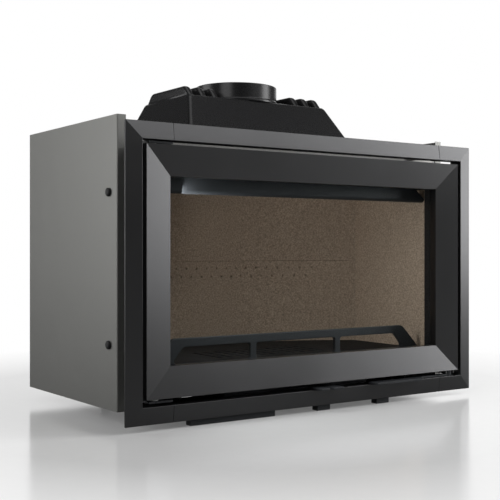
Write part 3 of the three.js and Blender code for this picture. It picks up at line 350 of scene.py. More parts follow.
def fibre_finish(graph, base):
    """Braided glass fibre: crossing yarns with loose hairs."""
    yarns = [
        graph.node(
            "ShaderNodeTexWave",
            {"bands_direction": "DIAGONAL"},
            {"Vector": graph.place(stretch), "Scale": 170.0, "Distortion": 1.5},
        )
        for stretch in ((1, 1, 1), (1, 1, -1))
    ]
    weave = yarns[0] * 0.5 + yarns[1] * 0.5
    fluff = graph.noise(1600, 3)
    return graph.surface(
        Base_Color=graph.blend(weave * 0.7 + fluff * 0.3, shade(base, 0.6), shade(base, 1.35)),
        Roughness=graph.remap(fluff, 0.3, 0.7, 0.85, 0.98),
        Normal=graph.bump(weave + fluff * 0.4, 0.35 * MM),
    )


def glass_finish(graph, base):
    """Clear fire glass: see-through, with a reflection that grows at a glancing view."""
    haze = graph.noise(9, 3)
    clear = graph.node("ShaderNodeBsdfTransparent", None, {"Color": shade(base, 1.0)})
    gloss = graph.surface(
        Base_Color=shade(base, 0.1),
        Roughness=graph.remap(haze, 0.3, 0.7, 0.03, 0.07),
    )
    fresnel = graph.node("ShaderNodeFresnel", None, {"IOR": 1.45})
    inside = graph.node("ShaderNodeNewGeometry", output="Backfacing")
    share = (fresnel * 0.9 + haze * 0.01) * (1 - inside)
    return graph.node("ShaderNodeMixShader", None, {0: share, 1: clear, 2: gloss})


FINISHES = {
    "surround_paint": paint_finish,
    "door_paint": paint_finish,
    "galvanised_sheet": galvanised_finish,
    "black_cast_iron": cast_finish,
    "black_steel": steel_finish,
    "refractory_board": board_finish,
    "plain_steel": bright_finish,
    "black_bolts": steel_finish,
    "clear_glass": glass_finish,
    "seal_fibre": fibre_finish,
}


def new_material(name):
    made = bpy.data.materials.new(name)
    made.use_nodes = True
    made.node_tree.nodes.clear()
    return made, Graph(made.node_tree)


def material_for(slot, finish=None):
    """The finish of one of the record's slots, made the first time it is asked for."""
    finish = finish or FINISHES[slot]
    name = slot + "_" + finish.__name__
    if name not in bpy.data.materials:
        made, graph = new_material(name)
        base = getattr(bpy.context.scene.insert_colours, slot)
        graph.node("ShaderNodeOutputMaterial", None, {"Surface": finish(graph, base)})
    return bpy.data.materials[name]


# ---- shapes
def link(name, data):
    piece = bpy.data.objects.new(name, data)
    bpy.context.scene.collection.objects.link(piece)
    return piece


def tidied(mesh, flatten=False, turn_out=True):
    """Merges a mesh's doubled corners, and turns its faces outwards."""
    shape = bmesh.new()
    shape.from_mesh(mesh)
    bmesh.ops.remove_doubles(shape, verts=shape.verts, dist=WELD)
    if flatten:
        bmesh.ops.dissolve_limit(shape, angle_limit=FLAT, verts=shape.verts, edges=shape.edges)
    if turn_out:
        bmesh.ops.recalc_face_normals(shape, faces=shape.faces)
    shape.to_mesh(mesh)
    shape.free()
    return mesh


def solid(name, points, faces):
    mesh = bpy.data.meshes.new(name)
    mesh.from_pydata(points, [], faces)
    return link(name, tidied(mesh))


def baked(piece):
    """Turns a piece's modifiers into plain mesh."""
    graph = bpy.context.evaluated_depsgraph_get()
    graph.update()
    mesh = bpy.data.meshes.new_from_object(piece.evaluated_get(graph))
    piece.modifiers.clear()
    piece.data = mesh
    return piece


def edged(piece, width, segments=2, least=EDGE_ANGLE):
    """Rounds edges sharper than the least angle, and shades the piece's curves smoothly."""
    if width:
        bevel = piece.modifiers.new("edges", "BEVEL")
        bevel.width = width
        bevel.segments = segments
        bevel.limit_method = "ANGLE"
        bevel.angle_limit = least
        baked(piece)
    piece.data.shade_smooth()
    piece.data.set_sharp_from_angle(angle=EDGE_ANGLE)
    weighted = piece.modifiers.new("normals", "WEIGHTED_NORMAL")
    weighted.keep_sharp = True
    return baked(piece)


def stand_for(piece, *nodes):
    """The piece takes its body, slot and finish from the nodes that it replaces."""
    slot = SLOT_OF[nodes[0]]
    piece.data.materials.clear()
    piece.data.materials.append(material_for(slot))
    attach(piece, BODY_OF[nodes[0]])
    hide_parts(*nodes)
    return piece


def softened(node, width, segments=2, least=EDGE_ANGLE):
    """A copy of a frame node with its corners merged and its edges rounded."""
    mesh = tidied(frame["nodes"][node].data.copy(), flatten=True, turn_out=False)
    return stand_for(edged(link(node + "_shaped", mesh), width, segments, least), node)


def rounded(points, radius, steps=5):
    """A closed outline with each corner turned into an arc, no larger than its sides allow."""
    result = []
    count = len(points)
    radii = radius if isinstance(radius, list) else [radius] * count
    for index, corner in enumerate(points):
        here = Vector(corner)
        before = Vector(points[index - 1]) - here
        after = Vector(points[(index + 1) % count]) - here
        half = before.angle(after) / 2
        limit = 0.49 * min(before.length, after.length)
        reach = min(radii[index] / math.tan(half), limit) if radii[index] else 0
        if not reach:
            result.append(here)
            continue
        start = here + before.normalized() * reach
        end = here + after.normalized() * reach
        arc = reach * math.tan(half)
        inwards = (before.normalized() + after.normalized()).normalized()
        middle = here + inwards * (arc / math.sin(half))
        first, last = start - middle, end - middle
        sweep = first.angle(last)
        for step in range(steps + 1):
            share = step / steps
            turned = first * math.sin((1 - share) * sweep) + last * math.sin(share * sweep)
            result.append(middle + turned / math.sin(sweep))
    return [tuple(point) for point in result]


def plate(name, outline, low, high, edge, axes="XYZ", steps=1, windows=()):
    """An outline, perhaps with windows, given a thickness from low to high with rounded edges.

    The axes say which way the outline's first and second coordinates and the thickness run.
    """
    curve = bpy.data.curves.new(name, "CURVE")
    curve.dimensions = "2D"
    curve.fill_mode = "BOTH"
    curve.extrude = (high - low) / 2 - edge
    curve.bevel_depth = edge
    curve.bevel_resolution = steps
    curve.offset = -edge
    for line in (outline, *windows):
        spline = curve.splines.new("POLY")
        spline.points.add(len(line) - 1)
        spline.use_cyclic_u = True
        for point, (across, up) in zip(spline.points, line):
            point.co = (across, up, 0, 1)
    shape = link(name + "_outline", curve)
    graph = bpy.context.evaluated_depsgraph_get()
    mesh = bpy.data.meshes.new_from_object(shape.evaluated_get(graph))
    bpy.data.objects.remove(shape)
    mesh.transform(Matrix.Translation((0, 0, (low + high) / 2)))
    columns = [Vector((axis == "X", axis == "Y", axis == "Z")) for axis in axes]
    mesh.transform(Matrix(columns).transposed().to_4x4())
    return link(name, tidied(mesh))


def lathe(name, profile, centre=(0, 0), steps=96):
    """A closed profile of (radius, height) turned round an upright axis."""
    count = len(profile)
    points = []
    faces = []
    for step in range(steps):
        angle = step / steps * FULL_TURN
        for radius, height in profile:
            x = centre[0] + radius * math.cos(angle)
            y = centre[1] + radius * math.sin(angle)
            points.append((x, y, height))
        here = step * count
        after = (step + 1) % steps * count
        for k in range(count):
            m = (k + 1) % count
            faces.append((here + k, after + k, after + m, here + m))
    return solid(name, points, faces)


def loft(name, rings):
    """Rings with the same number of points, one above another, closed at both ends."""
    count = len(rings[0])
    points = [point for ring in rings for point in ring]
    faces = [tuple(reversed(range(count)))]
    for level in range(len(rings) - 1):
        for k in range(count):
            m = (k + 1) % count
            low, high = level * count, (level + 1) * count
            faces.append((low + k, low + m, high + m, high + k))
    faces.append(tuple(range((len(rings) - 1) * count, len(rings) * count)))
    return solid(name, points, faces)


def carved(piece, *tools):
    """Cuts the tools out of a piece, and removes the tools."""
    for tool in tools:
        change = piece.modifiers.new("carve", "BOOLEAN")
        change.operation = "DIFFERENCE"
        change.object = tool
        change.solver = "EXACT"
    baked(piece)
    for tool in tools:
        bpy.data.objects.remove(tool)
    return piece


# ---- geometry trees
def geometry_tree(name, inputs):
    """A geometry tree with named inputs. Gives its graph, and the signal of each input."""
    tree = bpy.data.node_groups.new(name, "GeometryNodeTree")
    tree.interface.new_socket("Geometry", in_out="INPUT", socket_type="NodeSocketGeometry")
    tree.interface.new_socket("Geometry", in_out="OUTPUT", socket_type="NodeSocketGeometry")
    for label, kind in inputs.items():
        tree.interface.new_socket(label, in_out="INPUT", socket_type="NodeSocket" + kind)
    tree.interface.new_socket("Finish", in_out="INPUT", socket_type="NodeSocketMaterial")
    graph = Graph(tree)
    return graph, graph.node("NodeGroupInput")


def end_tree(graph, geometry, given):
    """Ends a tree in Realize Instances and Set Material."""
    real = graph.node("GeometryNodeRealizeInstances", None, {"Geometry": geometry})
    sockets = {"Geometry": real, "Material": given.other("Finish")}
    painted = graph.node("GeometryNodeSetMaterial", None, sockets)
    graph.node("NodeGroupOutput", None, {"Geometry": painted})
    return graph.tree


def copies_tree():
    """Copies of a pattern piece on points, each turned by the point's own angles."""
    graph, given = geometry_tree("copies on points", {"Pattern": "Object"})
    sockets = {"Object": given.other("Pattern")}
    pattern = graph.node("GeometryNodeObjectInfo", None, sockets, "Geometry")
    settings = {"data_type": "FLOAT_VECTOR"}
    turned = graph.node("GeometryNodeInputNamedAttribute", settings, {"Name": "turn"})
    rotation = graph.node("FunctionNodeEulerToRotation", None, {"Euler": turned})
    sockets = {"Points": given, "Instance": pattern, "Rotation": rotation}
    placed = graph.node("GeometryNodeInstanceOnPoints", None, sockets)
    return end_tree(graph, placed, given)


def drilled_tree():
    """Two staggered rows of round holes, drilled through a brick from front to back."""
    lengths = ("Hole Radius", "Pitch", "Upper Row", "Lower Row", "Reach")
    inputs = {**dict.fromkeys(lengths, "Float"), "Count": "Int"}
    graph, given = geometry_tree("drilled rows", inputs)
    radius, depth = given.other("Hole Radius"), given.other("Reach")
    sockets = {"Vertices": 20, "Radius": radius, "Depth": depth}
    drill = graph.node("GeometryNodeMeshCylinder", None, sockets)
    pitch = given.other("Pitch")
    step = graph.node("ShaderNodeCombineXYZ", None, {"X": pitch})
    rows = []
    for label, fewer in (("Upper Row", 0), ("Lower Row", 1)):
        count = given.other("Count") - fewer
        start = (count - 1) * pitch * -0.5
        corner = graph.node("ShaderNodeCombineXYZ", None, {"X": start, "Z": given.other(label)})
        sockets = {"Count": count, "Start Location": corner, "Offset": step}
        rows.append(graph.node("GeometryNodeMeshLine", None, sockets))
    points = graph.node("GeometryNodeJoinGeometry", None, {"Geometry": rows})
    sockets = {"Points": points, "Instance": drill, "Rotation": (QUARTER_TURN, 0, 0)}
    placed = graph.node("GeometryNodeInstanceOnPoints", None, sockets)
    drills = graph.node("GeometryNodeRealizeInstances", None, {"Geometry": placed})
    sockets = {"Mesh 1": given, "Mesh 2": drills}
    cut = graph.node("GeometryNodeMeshBoolean", {"operation": "DIFFERENCE"}, sockets)
    return end_tree(graph, cut, given)


def rope_tree():
    """A twisted rope along a closed line with rounded corners."""
    inputs = dict.fromkeys(("Radius", "Lump", "Lay", "Corner"), "Float")
    graph, given = geometry_tree("twisted rope", inputs)
    path = graph.node("GeometryNodeMeshToCurve", None, {"Mesh": given})
    sockets = {"Curve": path, "Radius": given.other("Corner"), "Count": 10}
    path = graph.node("GeometryNodeFilletCurve", {"mode": "POLY"}, sockets)
    sockets = {"Curve": path, "Length": given.other("Lay") / 6}
    path = graph.node("GeometryNodeResampleCurve", {"mode": "LENGTH"}, sockets)
    core = given.other("Radius") - given.other("Lump")
    sockets = {"Resolution": 12, "Radius": core}
    section = graph.node("GeometryNodeCurvePrimitiveCircle", None, sockets)
    sockets = {"Curve": path, "Profile Curve": section}
    tube = graph.node("GeometryNodeCurveToMesh", None, sockets)
    here = graph.node("GeometryNodeInputPosition")
    across = graph.node("ShaderNodeSeparateXYZ", None, {"Vector": here})
    run = across + across.other("Z") + across.other("Y") * 1.4
    phase = run * FULL_TURN / given.other("Lay")
    wave = graph.node("ShaderNodeMath", {"operation": "SINE"}, {0: phase})
    outwards = graph.node("GeometryNodeInputNormal")
    sockets = {0: outwards, "Scale": wave * given.other("Lump")}
    offset = graph.node("ShaderNodeVectorMath", {"operation": "SCALE"}, sockets)
    sockets = {"Geometry": tube, "Offset": offset}
    return end_tree(graph, graph.node("GeometryNodeSetPosition", None, sockets), given)


def grown(piece, tree, values, slot):
    """Runs a geometry tree on a piece with these input values, and bakes the result."""
    modifier = piece.modifiers.new(tree.name, "NODES")
    modifier.node_group = tree
    given = {**values, "Finish": material_for(slot)}
    for item in tree.interface.items_tree:
        if item.in_out == "INPUT" and item.name in given:
            modifier[item.identifier] = given[item.name]
    return baked(piece)


def copies(name, pattern, places, slot):
    """Copies of a pattern at places, each a point and its turn round X, Y and Z."""
    mesh = bpy.data.meshes.new(name)
    mesh.from_pydata([point for point, _ in places], [], [])
    turns = mesh.attributes.new("turn", "FLOAT_VECTOR", "POINT")
    turns.data.foreach_set("vector", [angle for _, turn in places for angle in turn])
    piece = grown(link(name, mesh), copies_tree(), {"Pattern": pattern}, slot)
    bpy.data.objects.remove(pattern)
    return piece


# ---- measures of the frame
def centre_of(node):
    low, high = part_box(node)
    return (low + high) / 2


def dome_measures(sizes):
    """The dome's outline at its top and its skirt, from the node's box."""
    low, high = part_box("smoke_dome")
    collar_low, collar_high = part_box("flue_collar")
    return {
        "bottom": low.z,
        "top": high.z - sizes.rib_height,
        "skirt": low.z + sizes.dome_skirt,
        "half": high.x - sizes.dome_flange,
        "front": low.y + sizes.dome_flange,
        "back": high.y - sizes.dome_flange,
        "flue": (collar_low.y + collar_high.y) / 2,
    }


def dome_outline(measures, height, inset, radius):
    """The dome's outline at a height: upright up to the skirt, and leaning inwards above it."""
    rise = max(0.0, height - measures["skirt"])
    half = measures["half"] - DOME_LEAN["side"] * rise - inset
    front = measures["front"] + DOME_LEAN["front"] * rise + inset
    back = measures["back"] - DOME_LEAN["back"] * rise - inset
    corners = [(-half, front), (half, front), (half, back), (-half, back)]
    return [(x, y, height) for x, y in rounded(corners, max(radius, 0.5 * MM), 6)]


# ---- pieces
class FIREPLACE_OT_surround(bpy.types.Operator):
    """Make the four castings of the surround"""

    bl_idname = "fireplace.surround"
    bl_label = "Surround"

    def execute(self, context):
        sizes = context.scene.insert_sizes
        for side in ("left", "right", "top", "bottom"):
            softened("surround_" + side, sizes.arris, 3, MITRE_ANGLE)
        return {"FINISHED"}


class FIREPLACE_OT_door(bpy.types.Operator):
    """Make the door frame with its glass, tape, rope and retainers"""

    bl_idname = "fireplace.door"
    bl_label = "Door"

    def execute(self, context):
        sizes = context.scene.insert_sizes
        softened("door_frame", sizes.arris, 3, MITRE_ANGLE)
        softened("door_glass", 0.6 * MM, 3)
        softened("glass_gasket", 0.4 * MM, 3)
        for side in ("left", "right"):
            softened("glass_retainer_" + side, sizes.sheet_edge)
        self.add_rope(sizes)
        self.add_retainer_screws()
        return {"FINISHED"}

    def add_rope(self, sizes):
        low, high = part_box("door_rope_seal")
        radius = min(high.y - low.y, 11.4 * MM) / 2
        depth = (low.y + high.y) / 2
        x0, x1 = low.x + radius, high.x - radius
        z0, z1 = low.z + radius, high.z - radius
        corners = [(x0, depth, z0), (x1, depth, z0), (x1, depth, z1), (x0, depth, z1)]
        mesh = bpy.data.meshes.new("door_rope")
        mesh.from_pydata(corners, [(0, 1), (1, 2), (2, 3), (3, 0)], [])
        values = {"Radius": radius, "Corner": radius}
        values.update(Lump=sizes.rope_lump, Lay=sizes.rope_lay)
        rope = grown(link("door_rope", mesh), rope_tree(), values, "seal_fibre")
        rope.data.shade_smooth()
        stand_for(rope, "door_rope_seal")

    def add_retainer_screws(self):
        """Three pan head screws through each glass retainer."""
        head, rise, spread = 3 * MM, 1.8 * MM, 95 * MM
        profile = [(0, 0), (head, 0), (head, rise * 0.4), (head * 0.6, rise), (0, rise)]
        pattern = lathe("screw_pattern", rounded(profile, [0, 0, 0.5 * MM, 1 * MM, 0]), steps=32)
        slot = plate("slot", [(-3, -0.4), (3, -0.4), (3, 0.4), (-3, 0.4)], 1, 3, 0.01)
        slot.data.transform(Matrix.Scale(MM, 4))
        edged(carved(pattern, slot), 0)
        places = []
        for side in ("left", "right"):
            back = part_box("glass_retainer_" + side)[1].y
            middle = centre_of("glass_retainer_" + side)
            for step in (-1, 0, 1):
                head_place = (middle.x, back, middle.z + step * spread)
                places.append((head_place, (-QUARTER_TURN, 0, 0)))
        screws = copies("retainer_screws", pattern, places, "plain_steel")
        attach(screws, "door")


class FIREPLACE_OT_controls(bpy.types.Operator):
    """Make the door handle, its pivot screw and the two air levers"""

    bl_idname = "fireplace.controls"
    bl_label = "Handle and air levers"

    def execute(self, context):
        sizes = context.scene.insert_sizes
        softened("door_handle", 0.8 * MM, 3)
        softened("handle_pivot_screw", 0.4 * MM)
        for lever in ("ignition_air_lever", "combustion_air_lever"):
            softened(lever, 2 * sizes.sheet_edge, 3)
        return {"FINISHED"}


class FIREPLACE_OT_smoke_dome(bpy.types.Operator):
    """Make the hollow smoke dome and its cast ribs"""

    bl_idname = "fireplace.smoke_dome"
    bl_label = "Smoke dome"

    def execute(self, context):
        sizes = context.scene.insert_sizes
        measures = dome_measures(sizes)
        dome = self.shell(sizes, measures)
        stand_for(edged(dome, 0), "smoke_dome")
        self.add_ribs(sizes, measures)
        return {"FINISHED"}

    def shell(self, sizes, measures):
        """A flanged foot with a fillet, upright then leaning sides, and a rounded crown."""
        wall, edge, corner = sizes.dome_wall, sizes.dome_edge, sizes.dome_corner
        top, bottom, skirt = measures["top"], measures["bottom"], measures["skirt"]
        flange, step, fillet = sizes.dome_flange, 1 * MM, 2.4 * MM
        floor, wide = bottom + wall, corner + flange
        levels = [
            (bottom, -flange, wide),
            (floor - step, -flange, wide),
            (floor, step - flange, wide),
            (floor, -fillet, corner),
            (floor + 0.7 * MM, -0.7 * MM, corner),
            (floor + fillet, 0, corner),
            (skirt - 2 * MM, 0, corner),
            (skirt, 0, corner),
            (skirt + 2 * MM, 0, corner),
        ]
        for turn in range(6):
            angle = turn / 5 * QUARTER_TURN
            inset = edge * (1 - math.cos(angle))
            levels.append((top - edge + edge * math.sin(angle), inset, corner - inset))
        hollow = [(height, wall, corner) for height in (bottom - step, skirt, top - wall)]
        radius, under, over = sizes.collar_bore + wall, top - 2 * wall, top + wall
        neck = [(0, under), (radius, under), (radius, over), (0, over)]
        dome = loft("smoke_dome_shaped", [dome_outline(measures, *level) for level in levels])
        hole = lathe("neck", neck, (0, measures["flue"]), 128)
        room = loft("hollow", [dome_outline(measures, *level) for level in hollow])
        return carved(dome, room, hole)

    def add_ribs(self, sizes, measures):
        """Six long bars that end in ramps, on both sides of the collar."""
        from_front, from_back, from_side = 4 * MM, 2 * MM, 2.9 * MM
        rise = measures["top"] - measures["skirt"]
        front = measures["front"] + DOME_LEAN["front"] * rise + from_front
        back = measures["back"] - DOME_LEAN["back"] * rise - from_back
        half = measures["half"] - DOME_LEAN["side"] * rise
        base, crest = -sizes.dome_wall / 2, sizes.rib_height
        middle = (front + back) / 2
        foot = (back - front) / 2
        top = foot - crest
        end = sizes.rib_end
        outline = [(-foot, base), (foot, base), (top, crest), (-top, crest)]
        profile = rounded(outline, [0, 0, end, end], 8)
        width = sizes.rib_width / 2
        pattern = plate("rib_pattern", profile, -width, width, sizes.rib_round, "YZX", 4)
        edged(pattern, 0)
        last = half - from_side - width
        places = [
            ((side * (last - k * sizes.rib_pitch), middle, measures["top"]), (0, 0, 0))
            for side in (-1, 1)
            for k in range(3)
        ]
        ribs = copies("smoke_dome_ribs", pattern, places, "black_cast_iron")
        ribs.data.shade_smooth()
        ribs.data.set_sharp_from_angle(angle=EDGE_ANGLE)
        stand_for(ribs, "smoke_dome")


class FIREPLACE_OT_flue_collar(bpy.types.Operator):
    """Turn the flue collar"""

    bl_idname = "fireplace.flue_collar"
    bl_label = "Flue collar"

    def execute(self, context):
        sizes = context.scene.insert_sizes
        low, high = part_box("flue_collar")
        seat = dome_measures(sizes)["top"] + SEAM
        bore = sizes.collar_bore
        outer = bore + sizes.collar_wall
        foot = outer + sizes.collar_foot
        spigot = bore + sizes.dome_wall - SEAM
        foot_top, shoulder = seat + 4 * MM, seat + 6 * MM
        profile = [
            (bore, low.z),
            (spigot, low.z),
            (spigot, seat),
            (foot, seat),
            (foot, foot_top),
            (outer, shoulder),
            (outer, high.z),
            (bore, high.z),
        ]
        radii = [0.5 * MM, 0.5 * MM, 0, 0.5 * MM, 1.5 * MM, 4 * MM, 2 * MM, 1.5 * MM]
        middle = ((low.x + high.x) / 2, (low.y + high.y) / 2)
        collar = lathe("flue_collar_shaped", rounded(profile, radii, 6), middle, 160)
        stand_for(edged(collar, 0), "flue_collar")
        return {"FINISHED"}


class FIREPLACE_OT_casing(bpy.types.Operator):
    """Fold the two casing sides and finish the casing's flat sheets"""

    bl_idname = "fireplace.casing"
    bl_label = "Casing"

    def execute(self, context):
        sizes = context.scene.insert_sizes
        for name, side in (("left", -1), ("right", 1)):
            self.fold_side("casing_" + name + "_panel", side, sizes)
        for node in ("casing_back_panel", "casing_top_rail", "casing_base"):
            softened(node, sizes.sheet_edge)
        return {"FINISHED"}

    def fold_side(self, node, side, sizes):
        """One side sheet with its front and rear flanges folded inwards."""
        low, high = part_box(node)
        sheet, bend = sizes.sheet, sizes.bend
        outer = max(abs(low.x), abs(high.x))
        inner = outer - sheet
        front, back = low.y, high.y
        outline = [
            (outer, front),
            (outer, back),
            (outer - sizes.rear_flange, back),
            (outer - sizes.rear_flange, back - sheet),
            (inner, back - sheet),
            (inner, front + sheet),
            (outer - sizes.front_flange, front + sheet),
            (outer - sizes.front_flange, front),
        ]
        radii = [bend, bend, 0, 0, bend - sheet, bend - sheet, 0, 0]
        folded = [(side * x, y) for x, y in rounded(outline, radii, 6)]
        panel = plate(node + "_shaped", folded, low.z, high.z, sizes.sheet_edge)
        stand_for(edged(panel, 0), node)


class FIREPLACE_OT_bolts(bpy.types.Operator):
    """Put the shoulder bolts through the casing's sides"""

    bl_idname = "fireplace.bolts"
    bl_label = "Casing bolts"

    def execute(self, context):
        heights = ("lower", "upper")
        names = [f"casing_bolt_{side}_{height}" for side in ("left", "right") for height in heights]
        low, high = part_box("casing_bolt_right_lower")
        radius = (high.z - low.z) / 2
        run, head, sheet, shank, dome = high.x - low.x, 5 * MM, 2 * MM, 5 * MM, 1.4 * MM
        profile = [
            (0, -run),
            (radius, -run),
            (radius, -head - sheet),
            (shank, -head - sheet),
            (shank, -head),
            (radius, -head),
            (radius, -dome),
            (radius * 0.62, 0),
            (0, 0),
        ]
        radii = [0, 0.6 * MM, 0, 0, 0, 0.4 * MM, 1.6 * MM, 3 * MM, 0]
        pattern = edged(lathe("bolt_pattern", rounded(profile, radii, 6), steps=48), 0)
        places = []
        for name in names:
            middle = centre_of(name)
            side = math.copysign(1, middle.x)
            end = (side * high.x, middle.y, middle.z)
            places.append((end, (0, side * QUARTER_TURN, 0)))
        stand_for(copies("casing_bolts", pattern, places, "black_bolts"), *names)
        return {"FINISHED"}


class FIREPLACE_OT_feet(bpy.types.Operator):
    """Put the four feet under the casing, and the pads under the surround"""

    bl_idname = "fireplace.feet"
    bl_label = "Feet and pads"

    def execute(self, context):
        names = [f"foot_{end}_{side}" for end in ("front", "rear") for side in ("left", "right")]
        low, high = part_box(names[0])
        radius, height = (high.x - low.x) / 2, high.z
        stem, pad, nut = 7 * MM, 6 * MM, 11 * MM
        nut_low, nut_high = height - 9 * MM, height - 2 * MM
        profile = [
            (0, 0),
            (radius, 0),
            (radius, pad),
            (stem, pad),
            (stem, nut_low),
            (nut, nut_low),
            (nut, nut_high),
            (stem, nut_high),
            (stem, height),
            (0, height),
        ]
        radii = [0, 1 * MM, 2 * MM, 1.5 * MM, 0, 0.8 * MM, 0.8 * MM, 0, 0.3 * MM, 0]
        pattern = edged(lathe("foot_pattern", rounded(profile, radii, 5), steps=64), 0)
        places = [((centre_of(name).x, centre_of(name).y, 0), (0, 0, 0)) for name in names]
        stand_for(copies("feet", pattern, places, "black_steel"), *names)
        for place in ("left", "centre", "right"):
            softened("surround_pad_" + place, 1 * MM)
        return {"FINISHED"}


class FIREPLACE_OT_lining(bpy.types.Operator):
    """Cast the side and back lining, with its two rows of air holes, and the baffle"""

    bl_idname = "fireplace.lining"
    bl_label = "Lining"

    def execute(self, context):
        sizes = context.scene.insert_sizes
        for node in ("lining_left", "lining_right", "baffle_plate"):
            softened(node, 1.2 * MM)
        self.add_back("lining_back_upper", sizes)
        lower = self.add_back("lining_back_lower", sizes)
        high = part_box("lining_back_lower")[1]
        joint = high.z + 0.15 * MM
        values = {name: joint - below for name, below in AIR_ROW_DROP.items()}
        values["Hole Radius"] = sizes.air_hole
        values["Pitch"] = sizes.air_pitch
        values["Count"] = AIR_HOLES
        values["Reach"] = 2 * (high.y + sizes.lining)
        edged(grown(lower, drilled_tree(), values, "refractory_board"), 0)
        return {"FINISHED"}

    def add_back(self, node, sizes):
        """A curved brick: flat in the middle, with an arc to each side."""
        low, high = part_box(node)
        half = high.x
        face = high.y - sizes.lining
        outline = self.back_line(face, sizes.back_radius, sizes.back_flat, half)
        radius = sizes.back_radius + sizes.lining
        outline += reversed(self.back_line(high.y, radius, sizes.back_flat, half))
        brick = plate(node + "_shaped", outline, low.z, high.z, 0.8 * MM)
        return stand_for(edged(brick, 0), node)

    def back_line(self, deepest, radius, flat, half, steps=28):
        """One face of a back brick from left to right, seen from above."""
        last = math.asin((half - flat) / radius)
        angles = [step / steps * last for step in range(steps + 1)]
        right = [
            (flat + radius * math.sin(a), deepest - radius * (1 - math.cos(a))) for a in angles
        ]
        return [(-x, y) for x, y in reversed(right)] + right


class FIREPLACE_OT_fire_parts(bpy.types.Operator):
    """Make the deflector, log guard, hearth, grate and ash pan"""

    bl_idname = "fireplace.fire_parts"
    bl_label = "Fire parts"

    def execute(self, context):
        softened("air_wash_deflector", 0.8 * MM, 3)
        self.cut_guard()
        for node, edge in (("hearth_plate", 1.0 * MM), ("grate", 1.2 * MM)):
            piece = softened(node, edge)
            piece.data.materials[0] = material_for("black_cast_iron", soot_finish)
        softened("ash_pan", 0.3 * MM)
        return {"FINISHED"}

    def cut_guard(self):
        """A flat guard with three windows, whose ends sweep down to the hearth. In millimetres."""
        low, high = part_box("log_guard")
        half = high.x / MM
        tall = (high.z - low.z) / MM
        sill, lintel, post_inside, post_outside = 3.5, 32.9, 94.3, 107
        right = [(half, 0), (half - 2, 5), (half - 40, tall - 5), (half - 47, tall)]
        outline = right + [(-x, z) for x, z in reversed(right)]
        ends = [1, 16, 22, 22]
        corners = [(post_inside, sill), (post_inside, lintel)]
        corners += [(-x, z) for x, z in reversed(corners)]
        middle = rounded(corners, 5, 6)
        corners = [(post_outside, sill), (half - 42, sill), (half - 62, 27)]
        corners += [(half - 68, lintel), (post_outside, lintel)]
        side = rounded(corners, [5, 5, 14, 14, 5], 6)
        lines = [rounded(outline, ends + ends[::-1], 8), middle, side]
        lines.append([(-x, z) for x, z in reversed(side)])
        rim, *windows = [[(x * MM, low.z + z * MM) for x, z in line] for line in lines]
        guard = plate("log_guard_shaped", rim, low.y, high.y, 1.2 * MM, "XZY", 2, windows)
        stand_for(edged(guard, 0), "log_guard")


class FIREPLACE_OT_firebox(bpy.types.Operator):
    """Make the firebox's plates, ducts and fittings behind the finished surfaces"""

    bl_idname = "fireplace.firebox"
    bl_label = "Firebox and fittings"

    def execute(self, context):
        sizes = context.scene.insert_sizes
        sheets = ("rear_air_duct", "air_box", "air_valve_seat", "surround_tie_left")
        sheets += ("surround_tie_right", "base_channel_left", "base_channel_right")
        fittings = ("hinge_bracket_top", "hinge_bracket_bottom", "hinge_pin_top")
        fittings += ("hinge_pin_bottom", "door_catch")
        for casting in ("front_frame", "shell", "base_plate", "top_plate"):
            softened("firebox_" + casting, 1.0 * MM)
        for node in sheets:
            softened(node, sizes.sheet_edge)
        for node in fittings:
            softened(node, 0.5 * MM)
        self.turn_spigot()
        return {"FINISHED"}

    def turn_spigot(self):
        """A tube with a flange at its top."""
        flange, wall = 9 * MM, 2 * MM
        low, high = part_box("air_inlet_spigot")
        wide = (high.x - low.x) / 2
        tube = wide - flange
        under = high.z - wall
        profile = [
            (tube - wall, low.z),
            (tube, low.z),
            (tube, under),
            (wide, under),
            (wide, high.z),
            (tube - wall, high.z),
        ]
        radii = [0.8 * MM, 0.8 * MM, 1 * MM, 0.6 * MM, 0.6 * MM, 0.8 * MM]
        middle = ((low.x + high.x) / 2, (low.y + high.y) / 2)
        spigot = lathe("air_inlet_spigot_shaped", rounded(profile, radii, 4), middle, 96)
        stand_for(edged(spigot, 0), "air_inlet_spigot")


# ---- stage
LAMP_TARGET = (0, 0, 0.3)
LAMPS = (  # name, azimuth, elevation, distance, size and radiance
    ("key", 59, 18, 2.6, (1.05, 2.0), 5.0),
    ("front_soft", 28, 36, 2.6, (1.7, 1.3), 1.9),
    ("left_fill", -62, 25, 2.8, (1.4, 1.4), 2.2),
    ("rear_fill", -125, 10, 2.8, (1.4, 1.6), 2.4),
    ("overhead", 0, 85, 2.4, (1.6, 1.6), 1.0),
)
CHAMBER_TARGET = (0, -0.276, 0.29)
CHAMBER_LAMP = ("chamber", -115, 8, 0.3, (0.06, 0.16), 34.0)
CAMERA_PLACE = (-1.138306, -1.624564, 0.300036)
CAMERA_TURN = (QUARTER_TURN, 0, math.radians(-34.824))
BACKDROP_WAY = (0.571, 0.821, 0)  # from the camera past the object
FLOOR_REACH = 6.0
FLOOR_HEIGHT = -0.2 * MM
FADE_START, FADE_END = 0.65, 1.15  # metres from the object's middle


def grey(level):
    return (level, level, level, 1)


def area_lamp(name, azimuth, elevation, distance, size, radiance, target):
    """A soft rectangular lamp that faces the target. Azimuth 0 is in front, 90 at the right."""
    turn, rise = math.radians(azimuth), math.radians(elevation)
    level = math.cos(rise)
    away = Vector((math.sin(turn) * level, -math.cos(turn) * level, math.sin(rise)))
    data = bpy.data.lights.new(name, "AREA")
    data.shape = "RECTANGLE"
    data.size, data.size_y = size
    data.energy = radiance * math.pi * size[0] * size[1]
    lamp = link(name, data)
    lamp.location = Vector(target) + away * distance
    lamp.rotation_euler = (-away).to_track_quat("-Z", "Y").to_euler()
    return lamp


